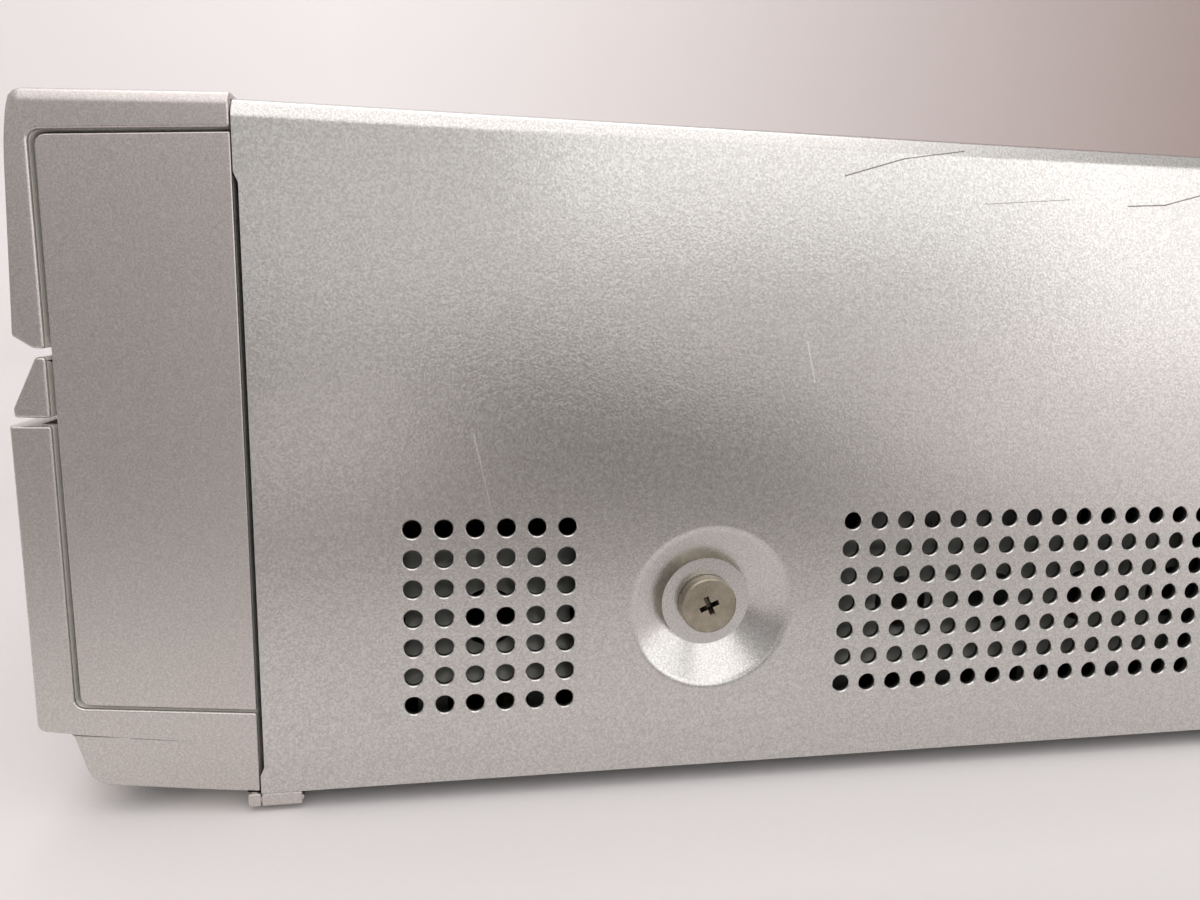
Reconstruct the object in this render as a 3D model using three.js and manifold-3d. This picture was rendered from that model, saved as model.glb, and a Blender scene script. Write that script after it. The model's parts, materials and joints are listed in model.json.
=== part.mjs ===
// A front-loading video cassette recorder, millimetres, +Z up, front towards -Y.
// The origin is on the floor, under the middle of the recorder.
import * as THREE from 'three';
import { mergeVertices } from 'three/addons/utils/BufferGeometryUtils.js';
import Module from 'manifold-3d';

const wasm = await Module();
wasm.setup();

// Overall sizes
const unitWidth = 435;
const unitDepth = 250;
const fasciaDepth = 27;
const rearRoom = 28;
const socketReach = 9;
const coverClearance = 2.4;
const fasciaRise = 0.6;
const seamGap = 0.65;
const fit = 0.3;
const overrun = 2;

// Sheet metal
const coverSheet = 0.8;
const coverBend = 2.6;
const coverLip = 11;
const baseSheet = 1;
const baseInset = 4.1;
const baseClearance = 3;
const baseLip = 12;
const flangeTop = 35;
const flangeHole = 8;
const flangeHolePitch = 15.1;
const flangeHoleHeight = 24.3;
const flangeSlotLow = 9.5;
const flangeSlotHigh = 14;
const flangeSlotWeb = 4;
const flangeHolesFront = 3;
const flangeHolesRightRear = 6;
const rearSheet = 1;
const rearInset = 1.1;
const footDiameter = 22;
const footInset = 38;
const footTaperShare = 0.92;
const floorSlotLength = 34;
const floorSlotWidth = 4;
const floorSlotPitch = 12;
const floorSlotCount = 6;
const floorSlotRows = 2;
const nubWidth = 8;
const nubInset = 0.3;
const nubBottom = 1.2;
const nubFront = 1.6;
const nubRear = 5.1;

// Vents and the screw dimple
const ventPitch = 4;
const ventDiameter = 2.45;
const ventSetback = 19.4;
const ventTopHeight = 35.4;
const ventRows = 7;
const frontVentColumns = 6;
const rearVentColumns = 15;
const rearVentStartColumn = 15;
const screwColumn = 10;
const screwRow = 3;
const dimpleRim = 22.5;
const dimpleFloor = 12.6;
const dimpleDepth = 3;
const screwHead = 7.4;
const screwHeadHeight = 1.9;
const screwShank = 3;
const screwLength = 7;
const screwTurn = 0.35;
const recessLength = 4.4;
const recessWidth = 0.9;
const recessDepth = 1.1;
const rearScrewInset = 67.5;

// Front mouldings
const mouldWall = 2.2;
const sideDraft = 2.3;
const groove = 0.75;
const grooveHigh = 0.45;
const cheekSetback = 5.4;
const cheekTopDrop = 5.7;
const cheekRearRise = 1.1;
const cheekCorner = 1.2;
const cheekBottomFront = 15.4;
const cheekBottomRear = 14.4;
const fasciaGap = 1;
const upperFaceLow = 1.1;
const upperFaceHigh = 2.3;
const upperTopSlope = 0.6;
const upperEdgeRadius = 1.8;
const upperRoof = 1.5;
const upperLipSetback = 3.3;
const upperLipRise = 1.4;
const stripHeight = 7.2;
const stripFoot = 1.1;
const stripFaceLow = 0.6;
const stripFaceHigh = 3.5;
const lowerTop = 50.8;
const lowerEdge = 11.9;
const lowerEdgeRadius = 1.1;
const lowerWall = 3;
const chinSetback = 4;
const chinDrop = 0.4;
const chinFootSetback = 6;
const chinFootHeight = 4.4;
const chinRadius = 3;
const chinWall = 3;
const chinLineRear = 9.6;
const chinInset = 0.5;

// Cassette, its slot and its carriage
const cassetteWidth = 187;
const cassetteHeight = 25;
const slotSideClearance = 1.5;
const slotHeadroom = 0.6;
const flapHeadroom = 2;
const flapThickness = 1.4;
const flapRecess = 1;
const flapPin = 1.5;
const flapPinLength = 2.4;
const carriageTravel = 58;
const carriageDrop = 24;
const holderSetback = 5;
const holderLength = 60;
const holderSheet = 1;
const holderLip = 12;
const holderStop = 8;
const holderPin = 3;
const holderPinInset = 13;
const holderPinRise = 18;
const sliderSheet = 1.2;
const sliderGap = 0.6;
const sliderFoot = 7.8;
const sliderTopRise = 0.4;
const sliderPinDrop = 2.6;
const sliderPinInset = 6;
const crossBarWidth = 2;
const crossBarHeight = 6;
const bracketSheet = 1.2;
const bracketGap = 2.4;
const bracketRise = 1.4;
const bracketFoot = 8;
const gearModule = 1;
const gearTeeth = 16;
const gearWidth = 3;
const gearAxle = 3;
const gearPressure = 20 * Math.PI / 180;
const toothTipShare = 0.8;
const toothRootShare = 1.15;
const rackRootShare = 1.2;
const toothBacklash = 0.35;

// Deck and tape transport
const deckTop = 27.2;
const deckSheet = 1.2;
const deckMargin = 0.6;
const deckLeftRoomShare = 21 / 86;
const deckFront = 6;
const deckPost = 7;
const deckPostInset = 8;
const reelSpacing = 92.4;
const reelLead = 85;
const reelTipShare = 0.8;
const reelKeyShare = 1.5;
const reelRadius = 24;
const reelDisc = 4;
const reelHub = 9;
const reelHubHeight = 4.5;
const reelSpindle = 4;
const reelSpindleHeight = 11;
const idlerDisc = 3.4;
const drumDiameter = 62;
const drumInset = 26;
const drumRimShare = 0.8;
const drumTilt = 5 * Math.PI / 180;
const drumBase = 3.2;
const lowerDrumHeight = 16;
const upperDrumHeight = 19;
const drumShaft = 6;
const capstanShaft = 3;
const capstanOffset = 53;
const capstanLead = 28;
const capstanRise = 27;
const flywheelDiameter = 48;
const flywheelWidth = 7;
const flywheelDrop = 3;
const pinchPivotOffset = 81;
const pinchPivotLead = 10;
const pinchRollerDiameter = 12;
const pinchRollerHeight = 17;
const pinchOpening = 24 * Math.PI / 180;
const armRoundShare = 0.9;
const armPivotShare = 0.8;
const armWidth = 6;
const armSheet = 2;
const armHeight = 10;
const postDiameter = 3;
const tensionPivotOffset = -74;
const tensionPivotLead = 39;
const tensionLength = 30;
const guideStartOffset = 30;
const guideStartLead = 57;
const guideEndOffset = 40;
const guideEndLead = 20;
const guideBlock = 9;
const guideBlockHeight = 3.5;
const guideRoller = 5;
const guideRollerGap = 0.45;
const guidePostHeight = 24;
const guideSlot = 3.4;
const modeTeeth = 24;
const modeOffset = -84;
const modeLead = 10;
const modeToothPhase = 0.5;
const modeWidth = 4;
const modeLift = 9;
const motorDiameter = 20;
const motorLength = 24;
const wormDiameter = 6;
const wormRidgeCount = 4;
const wormFootShare = 0.5;
const wormCrestShare = 0.8;
const wormRunoutShare = 1.3;
const motorBossShare = 0.35;
const headWidth = 9;
const headDepth = 8;
const headHeight = 16;
const audioHeadOffset = 60;
const audioHeadLead = -4;
const eraseHeadOffset = -47;
const eraseHeadLead = 6;

// Electronics
const boardThickness = 1.6;
const boardHeight = 11;
const boardPost = 5;
const mainBoardShare = 70 / 134;
const mainBoardSetback = 14.9;
const powerBoardSetback = 30.9;
const boardGap = 6;
const boardSideGap = 11.4;
const boardMargin = 3;
const componentGap = 0.3;
const transformerWidth = 44;
const transformerDepth = 40;
const transformerHeight = 34;
const windingHeight = 20;
const windingShare = 0.6;
const windingBulge = 7;
const sinkWidth = 40;
const sinkHeight = 38;
const sinkBase = 3;
const sinkFinCount = 7;
const sinkFin = 1.2;
const sinkDepth = 16;
const tunerWidth = 46;
const tunerDepth = 34;
const tunerHeight = 30;
const tunerBase = 46;
const socketDiameter = 9.4;
const socketBore = 3;
const socketSpacing = 18;
const jackBlockWidth = 74;
const jackBlockDepth = 14;
const jackBlockHeight = 32;
const jackBlockBase = 44;
const jackDiameter = 8.4;
const jackBore = 3.2;
const jackPitch = 16;
const jackReach = 7;
const inletWidth = 22;
const inletHeight = 14;
const inletDepth = 18;
const inletBase = 20;
const inletRecess = 12;
const inletBladeSpacing = 8.8;
const inletWall = 2.2;
const frontBoardSetback = 12;
const frontBoardLow = 18;
const frontBoardTopDrop = 2;

// Controls and windows on the front
const windowGap = 20;
const windowWidth = 104;
const windowLow = 24;
const windowTopDrop = 7.1;
const windowThickness = 2;
const tubeThickness = 4;
const doorSideMargin = 27.5;
const doorWidth = 128;
const doorLow = 18;
const doorTopDrop = 5.1;
const doorThickness = 1.6;
const doorFootGap = 0.8;
const doorPin = 1.5;
const doorPinHeight = 1.4;
const doorPinLength = 2;
const doorNotch = 16;
const doorNotchHeight = 2.4;
const frontJackPitch = 24;
const frontJackHeight = 26;
const frontJackReach = 5;
const frontBlockDepth = 12;
const keyWidth = 15;
const keyHeight = 3.4;
const keyPitch = 21;
const keyInset = 10;
const keyDepth = 4;
const keyProud = 0.9;
const keyStem = 2.2;
const keyTravel = 0.8;
const powerButtonDiameter = 15;
const powerButtonLeft = 28;
const ejectWidth = 26;
const ejectHeight = 9;
const ejectLeft = 54;
const largeButtonHeight = 34;
const buttonCap = 4;
const buttonStem = 4;

// Facets
const ventSides = 7;
const smallSides = 8;
const roundSides = 18;
const largeSides = 26;
const cornerSteps = 3;

// Places worked out from the sizes
const coverLength = unitDepth - fasciaDepth - socketReach;
const frontY = -unitDepth / 2;
const rearY = unitDepth / 2;
const halfWidth = unitWidth / 2;
const rearScrewSpacing = unitWidth - 2 * rearScrewInset;
const seamY = frontY + fasciaDepth;
const fasciaRear = seamY - seamGap / 2;
const coverFront = seamY + seamGap / 2;
const coverRear = seamY + coverLength;
const stripBottom = lowerTop + fasciaGap;
const stripTop = stripBottom + stripHeight;
const upperBottom = stripTop + fasciaGap;
const slotFloor = upperBottom;
const slotTop = slotFloor + cassetteHeight + slotHeadroom;
const upperInnerTop = slotTop + flapHeadroom;
const coverTop = upperInnerTop + upperRoof;
const fasciaTop = coverTop + fasciaRise;
const flangeX = halfWidth - baseInset;
const baseTop = baseClearance + baseSheet;
const rearPanelY = coverRear - rearInset;
const ventFirstY = seamY + ventSetback;
const ventTopZ = coverClearance + ventTopHeight;
const screwY = ventFirstY + screwColumn * ventPitch;
const screwZ = ventTopZ - screwRow * ventPitch;
const cheekFront = frontY + cheekSetback;
const cheekTopFront = fasciaTop - cheekTopDrop;
const cheekTopRear = cheekTopFront + cheekRearRise;
const fasciaBack = cheekFront - groove;
const wallBack = cheekFront + mouldWall;
const slotWidth = cassetteWidth + 2 * slotSideClearance;
const holderOuter = slotWidth / 2 + holderSheet;
const sliderInner = holderOuter + sliderGap;
const sliderOuter = sliderInner + sliderSheet;
const bracketInner = sliderOuter + bracketGap;
const bracketOuter = bracketInner + bracketSheet;
const deckHalfWidth = bracketOuter + bracketFoot + deckMargin;
const deckSideRoom = (unitWidth - 2 * deckHalfWidth) * deckLeftRoomShare;
const deckCentre = -halfWidth + deckSideRoom + deckHalfWidth;
const slotLeft = deckCentre - slotWidth / 2;
const slotRight = deckCentre + slotWidth / 2;
const upperSlope = Math.atan2(upperFaceHigh - upperFaceLow, fasciaTop - upperBottom);
const flapPivotZ = upperInnerTop - fit - flapThickness / 2;
const flapPivotY = frontY + upperFaceHigh + flapThickness / 2 + flapRecess;
const flapLength = flapPivotZ - slotFloor - fit;
const deckFrontY = seamY + deckFront;
const deckRearY = coverRear - rearRoom;
const deckFloor = deckTop - deckSheet;
const seatZ = deckTop + fit;
const holderFront = seamY + holderSetback;
const holderRear = holderFront + holderLength;
const holderPinHeight = slotFloor + holderPinRise;
const sliderBottom = holderPinHeight - carriageDrop - sliderFoot;
const sliderTop = slotTop + sliderTopRise;
const sliderPinHeight = slotTop - sliderPinDrop;
const bracketTop = slotTop + bracketRise;
const toothTip = toothTipShare * gearModule;
const rackRoot = rackRootShare * gearModule;
const rackPitchZ = sliderBottom - rackRoot;
const toothPitch = Math.PI * gearModule;
const gearRadius = gearTeeth * gearModule / 2;
const gearZ = rackPitchZ - gearRadius;
const gearY = holderRear + crossBarWidth / 2;
const drumY = deckRearY - drumInset;
const reelY = drumY - reelLead;
const boardZ = baseTop + boardHeight;
const frontBoardY = frontY + frontBoardSetback;
const keyTilt = Math.atan2(stripFaceHigh - stripFaceLow, stripHeight - stripFoot);
const doorRight = halfWidth - doorSideMargin;
const doorLeft = doorRight - doorWidth;
const doorHigh = lowerTop - doorTopDrop;
const windowRight = doorLeft - windowGap;
const windowLeft = windowRight - windowWidth;
const windowHigh = lowerTop - windowTopDrop;
const frontBoardHigh = stripTop - frontBoardTopDrop;

// Shapes: outlines with rounded corners, extrusions, turned forms, and joins and cuts
function arcPoints(centreA, centreB, radius, from, to, steps) {
  const points = [];
  for (let i = 0; i <= steps; i += 1) {
    const angle = from + (to - from) * i / steps;
    points.push([centreA + radius * Math.cos(angle), centreB + radius * Math.sin(angle)]);
  }
  return points;
}

// Each corner is [a, b] or [a, b, radius]
function outline(corners) {
  const count = corners.length;
  return corners.flatMap(([a, b, radius], i) => {
    if (!radius) return [[a, b]];
    const corner = new THREE.Vector2(a, b);
    const before = new THREE.Vector2(...corners[(i + count - 1) % count].slice(0, 2)).sub(corner);
    const after = new THREE.Vector2(...corners[(i + 1) % count].slice(0, 2)).sub(corner);
    before.normalize();
    after.normalize();
    const half = Math.acos(before.dot(after)) / 2;
    const centre = before.clone().add(after).normalize();
    centre.multiplyScalar(radius / Math.sin(half)).add(corner);
    const start = before.multiplyScalar(radius / Math.tan(half)).add(corner).sub(centre);
    const end = after.multiplyScalar(radius / Math.tan(half)).add(corner).sub(centre);
    const from = start.angle();
    const turn = Math.atan2(start.cross(end), start.dot(end));
    return arcPoints(centre.x, centre.y, radius, from, from + turn, cornerSteps);
  });
}

function rectangle(a0, a1, b0, b1, radius = 0) {
  return outline([[a0, b0, radius], [a1, b0, radius], [a1, b1, radius], [a0, b1, radius]]);
}

function extrude(points, length) {
  const shape = new THREE.Shape(points.map(([a, b]) => new THREE.Vector2(a, b)));
  return new THREE.ExtrudeGeometry(shape, { depth: length, bevelEnabled: false });
}

// An outline in y and z, drawn out along x
function alongX(points, x0, x1) {
  const turn = new THREE.Matrix4().makeBasis(
    new THREE.Vector3(0, 1, 0),
    new THREE.Vector3(0, 0, 1),
    new THREE.Vector3(1, 0, 0),
  );
  return extrude(points, x1 - x0).applyMatrix4(turn).translate(x0, 0, 0);
}

// An outline in x and z, drawn out along y
function alongY(points, y0, y1) {
  return extrude(points, y1 - y0).rotateX(Math.PI / 2).translate(0, y1, 0);
}

// An outline in x and y, drawn out along z
function alongZ(points, z0, z1) {
  return extrude(points, z1 - z0).translate(0, 0, z0);
}

function block(x0, x1, y0, y1, z0, z1) {
  const box = new THREE.BoxGeometry(x1 - x0, y1 - y0, z1 - z0);
  return box.translate((x0 + x1) / 2, (y0 + y1) / 2, (z0 + z1) / 2);
}

// A round bar or cone along one axis, between two places on it
function bar(axis, from, to, radius, place, sides = smallSides, endRadius = radius) {
  const cylinder = new THREE.CylinderGeometry(endRadius, radius, to - from, sides);
  const middle = (from + to) / 2;
  const [a, b] = place;
  if (axis === 'x') return cylinder.rotateZ(-Math.PI / 2).translate(middle, a, b);
  if (axis === 'y') return cylinder.translate(a, middle, b);
  return cylinder.rotateX(Math.PI / 2).translate(a, b, middle);
}

// A form turned about z from a list of [radius, height] that starts and ends on the axis
function turned(profile, sides = roundSides) {
  const points = profile.map(([radius, height]) => new THREE.Vector2(radius, height));
  return new THREE.LatheGeometry(points, sides).rotateX(Math.PI / 2);
}

function solid(geometry) {
  const bare = geometry.clone();
  bare.deleteAttribute('normal');
  bare.deleteAttribute('uv');
  const merged = mergeVertices(bare);
  const index = merged.index.array;
  const kept = [];
  for (let i = 0; i < index.length; i += 3) {
    const [a, b, c] = [index[i], index[i + 1], index[i + 2]];
    if (a !== b && b !== c && c !== a) kept.push(a, b, c);
  }
  const vertProperties = new Float32Array(merged.attributes.position.array);
  return new wasm.Manifold(new wasm.Mesh({
    numProp: 3,
    vertProperties,
    triVerts: new Uint32Array(kept),
  }));
}

function surface(body) {
  const mesh = body.getMesh();
  const geometry = new THREE.BufferGeometry();
  geometry.setAttribute('position', new THREE.BufferAttribute(mesh.vertProperties, 3));
  geometry.setIndex(new THREE.BufferAttribute(mesh.triVerts, 1));
  geometry.computeVertexNormals();
  return geometry;
}

function joined(...geometries) {
  return surface(geometries.map(solid).reduce((whole, next) => whole.add(next)));
}

function cut(geometry, ...tools) {
  return surface(tools.map(solid).reduce((whole, tool) => whole.subtract(tool), solid(geometry)));
}

// The mouldings' ends lean inwards towards the front
function drafted(geometry, draft = sideDraft) {
  const position = geometry.attributes.position;
  for (let i = 0; i < position.count; i += 1) {
    const share = Math.max(0, (fasciaRear - position.getY(i)) / fasciaDepth);
    const x = position.getX(i);
    position.setX(i, x - Math.sign(x) * draft * share);
  }
  return geometry;
}

// Finishes, one material for each piece
function finish(colour, roughness, metalness) {
  return () => new THREE.MeshStandardMaterial({ color: colour, roughness, metalness });
}
const silverPaint = finish(0xc4bfbb, 0.38, 0.8);
const platedSteel = finish(0x8f948c, 0.4, 0.9);
const nickel = finish(0xa39a86, 0.3, 0.95);
const silverMoulding = finish(0xbdb8b4, 0.42, 0.7);
const keyMoulding = finish(0xa8a4a1, 0.42, 0.6);
const smokedPlastic = finish(0x1c1a1c, 0.12, 0);
const blackRubber = finish(0x1d1d1e, 0.85, 0);
const whiteNylon = finish(0xe6e2d6, 0.5, 0);
const blackNylon = finish(0x262628, 0.5, 0);
const aluminium = finish(0xc4c6c8, 0.3, 0.9);
const brass = finish(0xb89a54, 0.35, 0.9);
const circuitBoard = finish(0x6d5a2c, 0.6, 0);
const ironCore = finish(0x55504a, 0.5, 0.6);
const tubeGlass = finish(0x2f4240, 0.1, 0);

const recorder = new THREE.Group();

function add(name, geometry, material, place = [0, 0, 0], tilt = 0) {
  const mesh = new THREE.Mesh(geometry, material());
  mesh.name = name;
  mesh.position.set(...place);
  mesh.rotation.x = tilt;
  recorder.add(mesh);
}

// The cover: one sheet folded over the top, vented on the right, with a dished screw seat in each side
function coverProfile() {
  const inner = halfWidth - coverSheet;
  const innerTop = coverTop - coverSheet;
  const innerBend = coverBend - coverSheet;
  const outside = outline([
    [halfWidth, coverClearance],
    [halfWidth, coverTop, coverBend],
    [-halfWidth, coverTop, coverBend],
    [-halfWidth, coverClearance],
  ]);
  const inside = outline([
    [-inner, coverClearance],
    [-inner, innerTop, innerBend],
    [inner, innerTop, innerBend],
    [inner, coverClearance],
  ]);
  return [...outside, ...inside];
}

function ventCutters() {
  const columns = [];
  for (let i = 0; i < frontVentColumns; i += 1) columns.push(i);
  for (let i = 0; i < rearVentColumns; i += 1) columns.push(rearVentStartColumn + i);
  const from = halfWidth - coverSheet - overrun;
  const to = halfWidth + overrun;
  return columns.flatMap((column) => {
    const cutters = [];
    for (let row = 0; row < ventRows; row += 1) {
      const place = [ventFirstY + column * ventPitch, ventTopZ - row * ventPitch];
      cutters.push(bar('x', from, to, ventDiameter / 2, place, ventSides));
    }
    return cutters;
  });
}

function dimpleCone(side, shift, extend) {
  const slope = (dimpleRim - dimpleFloor) / 2 / dimpleDepth;
  const floorX = halfWidth - dimpleDepth - shift;
  const rimX = floorX + dimpleDepth + extend;
  const rimRadius = dimpleRim / 2 + extend * slope;
  const place = [screwY, screwZ];
  if (side > 0) return bar('x', floorX, rimX, dimpleFloor / 2, place, roundSides, rimRadius);
  return bar('x', -rimX, -floorX, rimRadius, place, roundSides, dimpleFloor / 2);
}

function rearScrewPlaces() {
  const z = coverTop - coverLip / 2;
  return [[-rearScrewSpacing / 2, z], [rearScrewSpacing / 2, z]];
}

function topCover() {
  const shell = alongY(coverProfile(), coverFront, coverRear);
  const lipHalf = halfWidth - coverBend - coverSheet;
  const lip = block(-lipHalf, lipHalf, coverRear - coverSheet, coverRear,
    coverTop - coverLip, coverTop - coverSheet / 2);
  const dishes = [1, -1].map((side) => dimpleCone(side, coverSheet, 0));
  const hollows = [1, -1].map((side) => dimpleCone(side, 0, overrun));
  const shankHole = screwShank / 2 + fit;
  const screwHoles = [1, -1].map((side) => {
    const near = side * (halfWidth - dimpleDepth - coverSheet) - overrun;
    return bar('x', near, near + 2 * overrun + coverSheet, shankHole, [screwY, screwZ]);
  });
  const lipHoles = rearScrewPlaces().map((place) => (
    bar('y', coverRear - coverSheet - overrun, coverRear + overrun, shankHole, place)
  ));
  const whole = joined(shell, lip, ...dishes);
  return cut(whole, ...hollows, ...screwHoles, ...lipHoles, ...ventCutters());
}
add('top_cover', topCover(), silverPaint);

// A cross-recess screw with its head towards +z
function coverScrew() {
  const head = turned([
    [0, -screwLength],
    [screwShank / 2, -screwLength],
    [screwShank / 2, 0],
    [screwHead / 2, 0],
    [screwHead / 2, screwHeadHeight / 2],
    [screwHead / 3, screwHeadHeight],
    [0, screwHeadHeight],
  ], smallSides);
  const low = screwHeadHeight - recessDepth;
  const high = screwHeadHeight + overrun;
  const [long, wide] = [recessLength / 2, recessWidth / 2];
  const across = block(-long, long, -wide, wide, low, high);
  const along = block(-wide, wide, -long, long, low, high);
  return cut(head, joined(across, along)).rotateZ(screwTurn);
}
const seatX = halfWidth - dimpleDepth + fit / 2;
add('cover_screw_right', coverScrew().rotateY(Math.PI / 2), nickel, [seatX, screwY, screwZ]);
add('cover_screw_left', coverScrew().rotateY(-Math.PI / 2), nickel, [-seatX, screwY, screwZ]);
rearScrewPlaces().forEach(([x, z], i) => {
  const screw = coverScrew().rotateX(-Math.PI / 2);
  add(`rear_screw_${i + 1}`, screw, nickel, [x, coverRear + fit / 2, z]);
});

// The base: a pressed tray with pierced side flanges and a slotted floor
function flangeCutters(side) {
  const from = side > 0 ? flangeX - baseSheet - overrun : -flangeX - overrun;
  const to = from + baseSheet + 2 * overrun;
  const last = side > 0 ? flangeHolesRightRear : 0;
  const slotHalf = (flangeHolePitch - flangeSlotWeb) / 2;
  const cutters = [];
  for (let k = -flangeHolesFront; k <= last; k += 1) {
    const y = screwY + k * flangeHolePitch;
    if (k) cutters.push(bar('x', from, to, flangeHole / 2, [y, flangeHoleHeight], ventSides));
    cutters.push(block(from, to, y - slotHalf, y + slotHalf, flangeSlotLow, flangeSlotHigh));
  }
  cutters.push(bar('x', from, to, screwShank / 2 + fit, [screwY, screwZ]));
  return cutters;
}

function floorCutters() {
  const cutters = [];
  for (let row = 0; row < floorSlotRows; row += 1) {
    for (let i = 0; i < floorSlotCount; i += 1) {
      const x = halfWidth / 3 + i * floorSlotPitch;
      const y = seamY + footInset + row * 2 * footInset;
      cutters.push(block(x, x + floorSlotWidth, y, y + floorSlotLength, 0, baseTop + overrun));
    }
  }
  return cutters;
}

function basePan() {
  const front = coverFront + fit;
  const back = rearPanelY - rearSheet - fit;
  const inner = flangeX - baseSheet;
  const tray = alongY([
    [-flangeX, flangeTop],
    [-flangeX, baseClearance],
    [flangeX, baseClearance],
    [flangeX, flangeTop],
    [inner, flangeTop],
    [inner, baseTop],
    [-inner, baseTop],
    [-inner, flangeTop],
  ], front, back);
  const lipEnd = flangeX - baseSheet / 2;
  const lip = block(-lipEnd, lipEnd, front + fit, front + fit + baseSheet, baseTop - fit, baseLip);
  const whole = joined(tray, lip);
  return cut(whole, ...flangeCutters(1), ...flangeCutters(-1), ...floorCutters());
}
add('base_pan', basePan(), platedSteel);

// Four rubber pads, stuck to the tray
function foot() {
  const radius = footDiameter / 2;
  const top = baseClearance - fit / 2;
  const taper = radius * footTaperShare;
  return turned([[0, 0], [taper, 0], [radius, top / 2], [radius, top], [0, top]], smallSides);
}
const footX = halfWidth - footInset;
const footPlaces = {
  foot_front_right: [footX, seamY + footInset / 2, 0],
  foot_front_left: [-footX, seamY + footInset / 2, 0],
  foot_rear_right: [footX, coverRear - footInset / 2, 0],
  foot_rear_left: [-footX, coverRear - footInset / 2, 0],
};
for (const [name, place] of Object.entries(footPlaces)) add(name, foot(), blackRubber, place);

// The front: an inner frame with side cheeks, and three mouldings over it
const ejectX = -halfWidth + ejectLeft;
const powerX = -halfWidth + powerButtonLeft;
const keyFaceY = frontY + (stripFaceLow + stripFaceHigh) / 2;
const keyFaceZ = stripBottom + (stripFoot + stripHeight) / 2;
const keyX = (i) => doorLeft + keyInset + i * keyPitch;
const keyCount = 6;

function largeButtonCutters(y0, y1) {
  const width = ejectWidth / 2 + fit;
  const height = ejectHeight / 2 + fit;
  const power = powerButtonDiameter / 2 + fit;
  return [
    block(ejectX - width, ejectX + width, y0, y1, largeButtonHeight - height, largeButtonHeight + height),
    bar('y', y0, y1, power, [powerX, largeButtonHeight], roundSides),
  ];
}

function frontFrame() {
  const profile = outline([
    [fasciaRear, cheekBottomRear],
    [fasciaRear, cheekTopRear],
    [cheekFront, cheekTopFront, cheekCorner],
    [cheekFront, cheekBottomFront, cheekCorner],
  ]);
  const body = drafted(alongX(profile, -halfWidth, halfWidth));
  const inside = halfWidth - mouldWall - sideDraft;
  const back = fasciaRear + overrun;
  const y0 = cheekFront - overrun;
  const y1 = wallBack + overrun;
  const keyEnd = keyX(keyCount - 1) + keyWidth / 2 + fit;
  const slotRoom = 2 * slotSideClearance;
  return cut(
    body,
    block(-inside, inside, wallBack, back, 0, fasciaTop),
    block(slotLeft - slotRoom, slotRight + slotRoom, y0, y1, slotFloor - fasciaGap, fasciaTop),
    block(keyX(0) - keyWidth / 2 - fit, keyEnd, y0, y1, lowerTop - keyHeight / 2, stripTop - fasciaGap),
    block(windowLeft, windowRight, y0, y1, windowLow, windowHigh),
    block(doorLeft, doorRight, y0, y1, doorLow, doorHigh),
    ...largeButtonCutters(y0, y1),
  );
}
add('front_frame', frontFrame(), silverMoulding);

function flapPinHoles() {
  const radius = flapPin / 2 + fit;
  const reach = flapPinLength + 2 * fit;
  const place = [flapPivotY, flapPivotZ];
  return [
    bar('x', slotLeft - reach, slotLeft + overrun, radius, place),
    bar('x', slotRight - overrun, slotRight + reach, radius, place),
  ];
}

function upperFascia() {
  const profile = outline([
    [fasciaRear, fasciaTop],
    [fasciaRear, cheekTopRear + grooveHigh],
    [fasciaBack, cheekTopFront + grooveHigh, cheekCorner],
    [fasciaBack, upperBottom],
    [frontY + upperLipSetback, upperBottom],
    [frontY + upperFaceLow, upperBottom + upperLipRise],
    [frontY + upperFaceHigh, fasciaTop - upperTopSlope, upperEdgeRadius],
  ]);
  const body = drafted(alongX(profile, -halfWidth, halfWidth));
  const inside = halfWidth - mouldWall - sideDraft;
  return cut(
    body,
    block(-inside, inside, fasciaBack - fit, fasciaRear + overrun, upperBottom - overrun, upperInnerTop),
    block(slotLeft, slotRight, frontY - overrun, fasciaBack + overrun, 0, upperInnerTop),
    ...flapPinHoles(),
  );
}
add('upper_fascia', upperFascia(), silverMoulding);

// A key's own place, its travel along y before the strip's tilt
function tilted(geometry, x) {
  return geometry.rotateX(-keyTilt).translate(x, keyFaceY, keyFaceZ);
}

function controlStrip() {
  const profile = [
    [fasciaBack, stripBottom],
    [fasciaBack, stripTop],
    [frontY + stripFaceHigh, stripTop],
    [frontY + stripFaceLow, stripBottom + stripFoot],
    [frontY + stripFaceLow, stripBottom],
  ];
  const body = drafted(alongX(profile, -halfWidth, halfWidth));
  const width = keyWidth / 2 + fit;
  const height = keyHeight / 2 + fit;
  const holes = [];
  for (let i = 0; i < keyCount; i += 1) {
    holes.push(tilted(block(-width, width, -overrun, 2 * cheekSetback, -height, height), keyX(i)));
  }
  return cut(body, ...holes);
}
add('control_strip', controlStrip(), silverMoulding);

function doorPinHoles() {
  const radius = doorPin / 2 + fit;
  const reach = doorPinLength + 2 * fit;
  const place = [frontY + doorThickness, doorLow + doorPinHeight];
  return [
    bar('x', doorLeft - reach, doorLeft + overrun, radius, place),
    bar('x', doorRight - overrun, doorRight + reach, radius, place),
  ];
}

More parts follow.
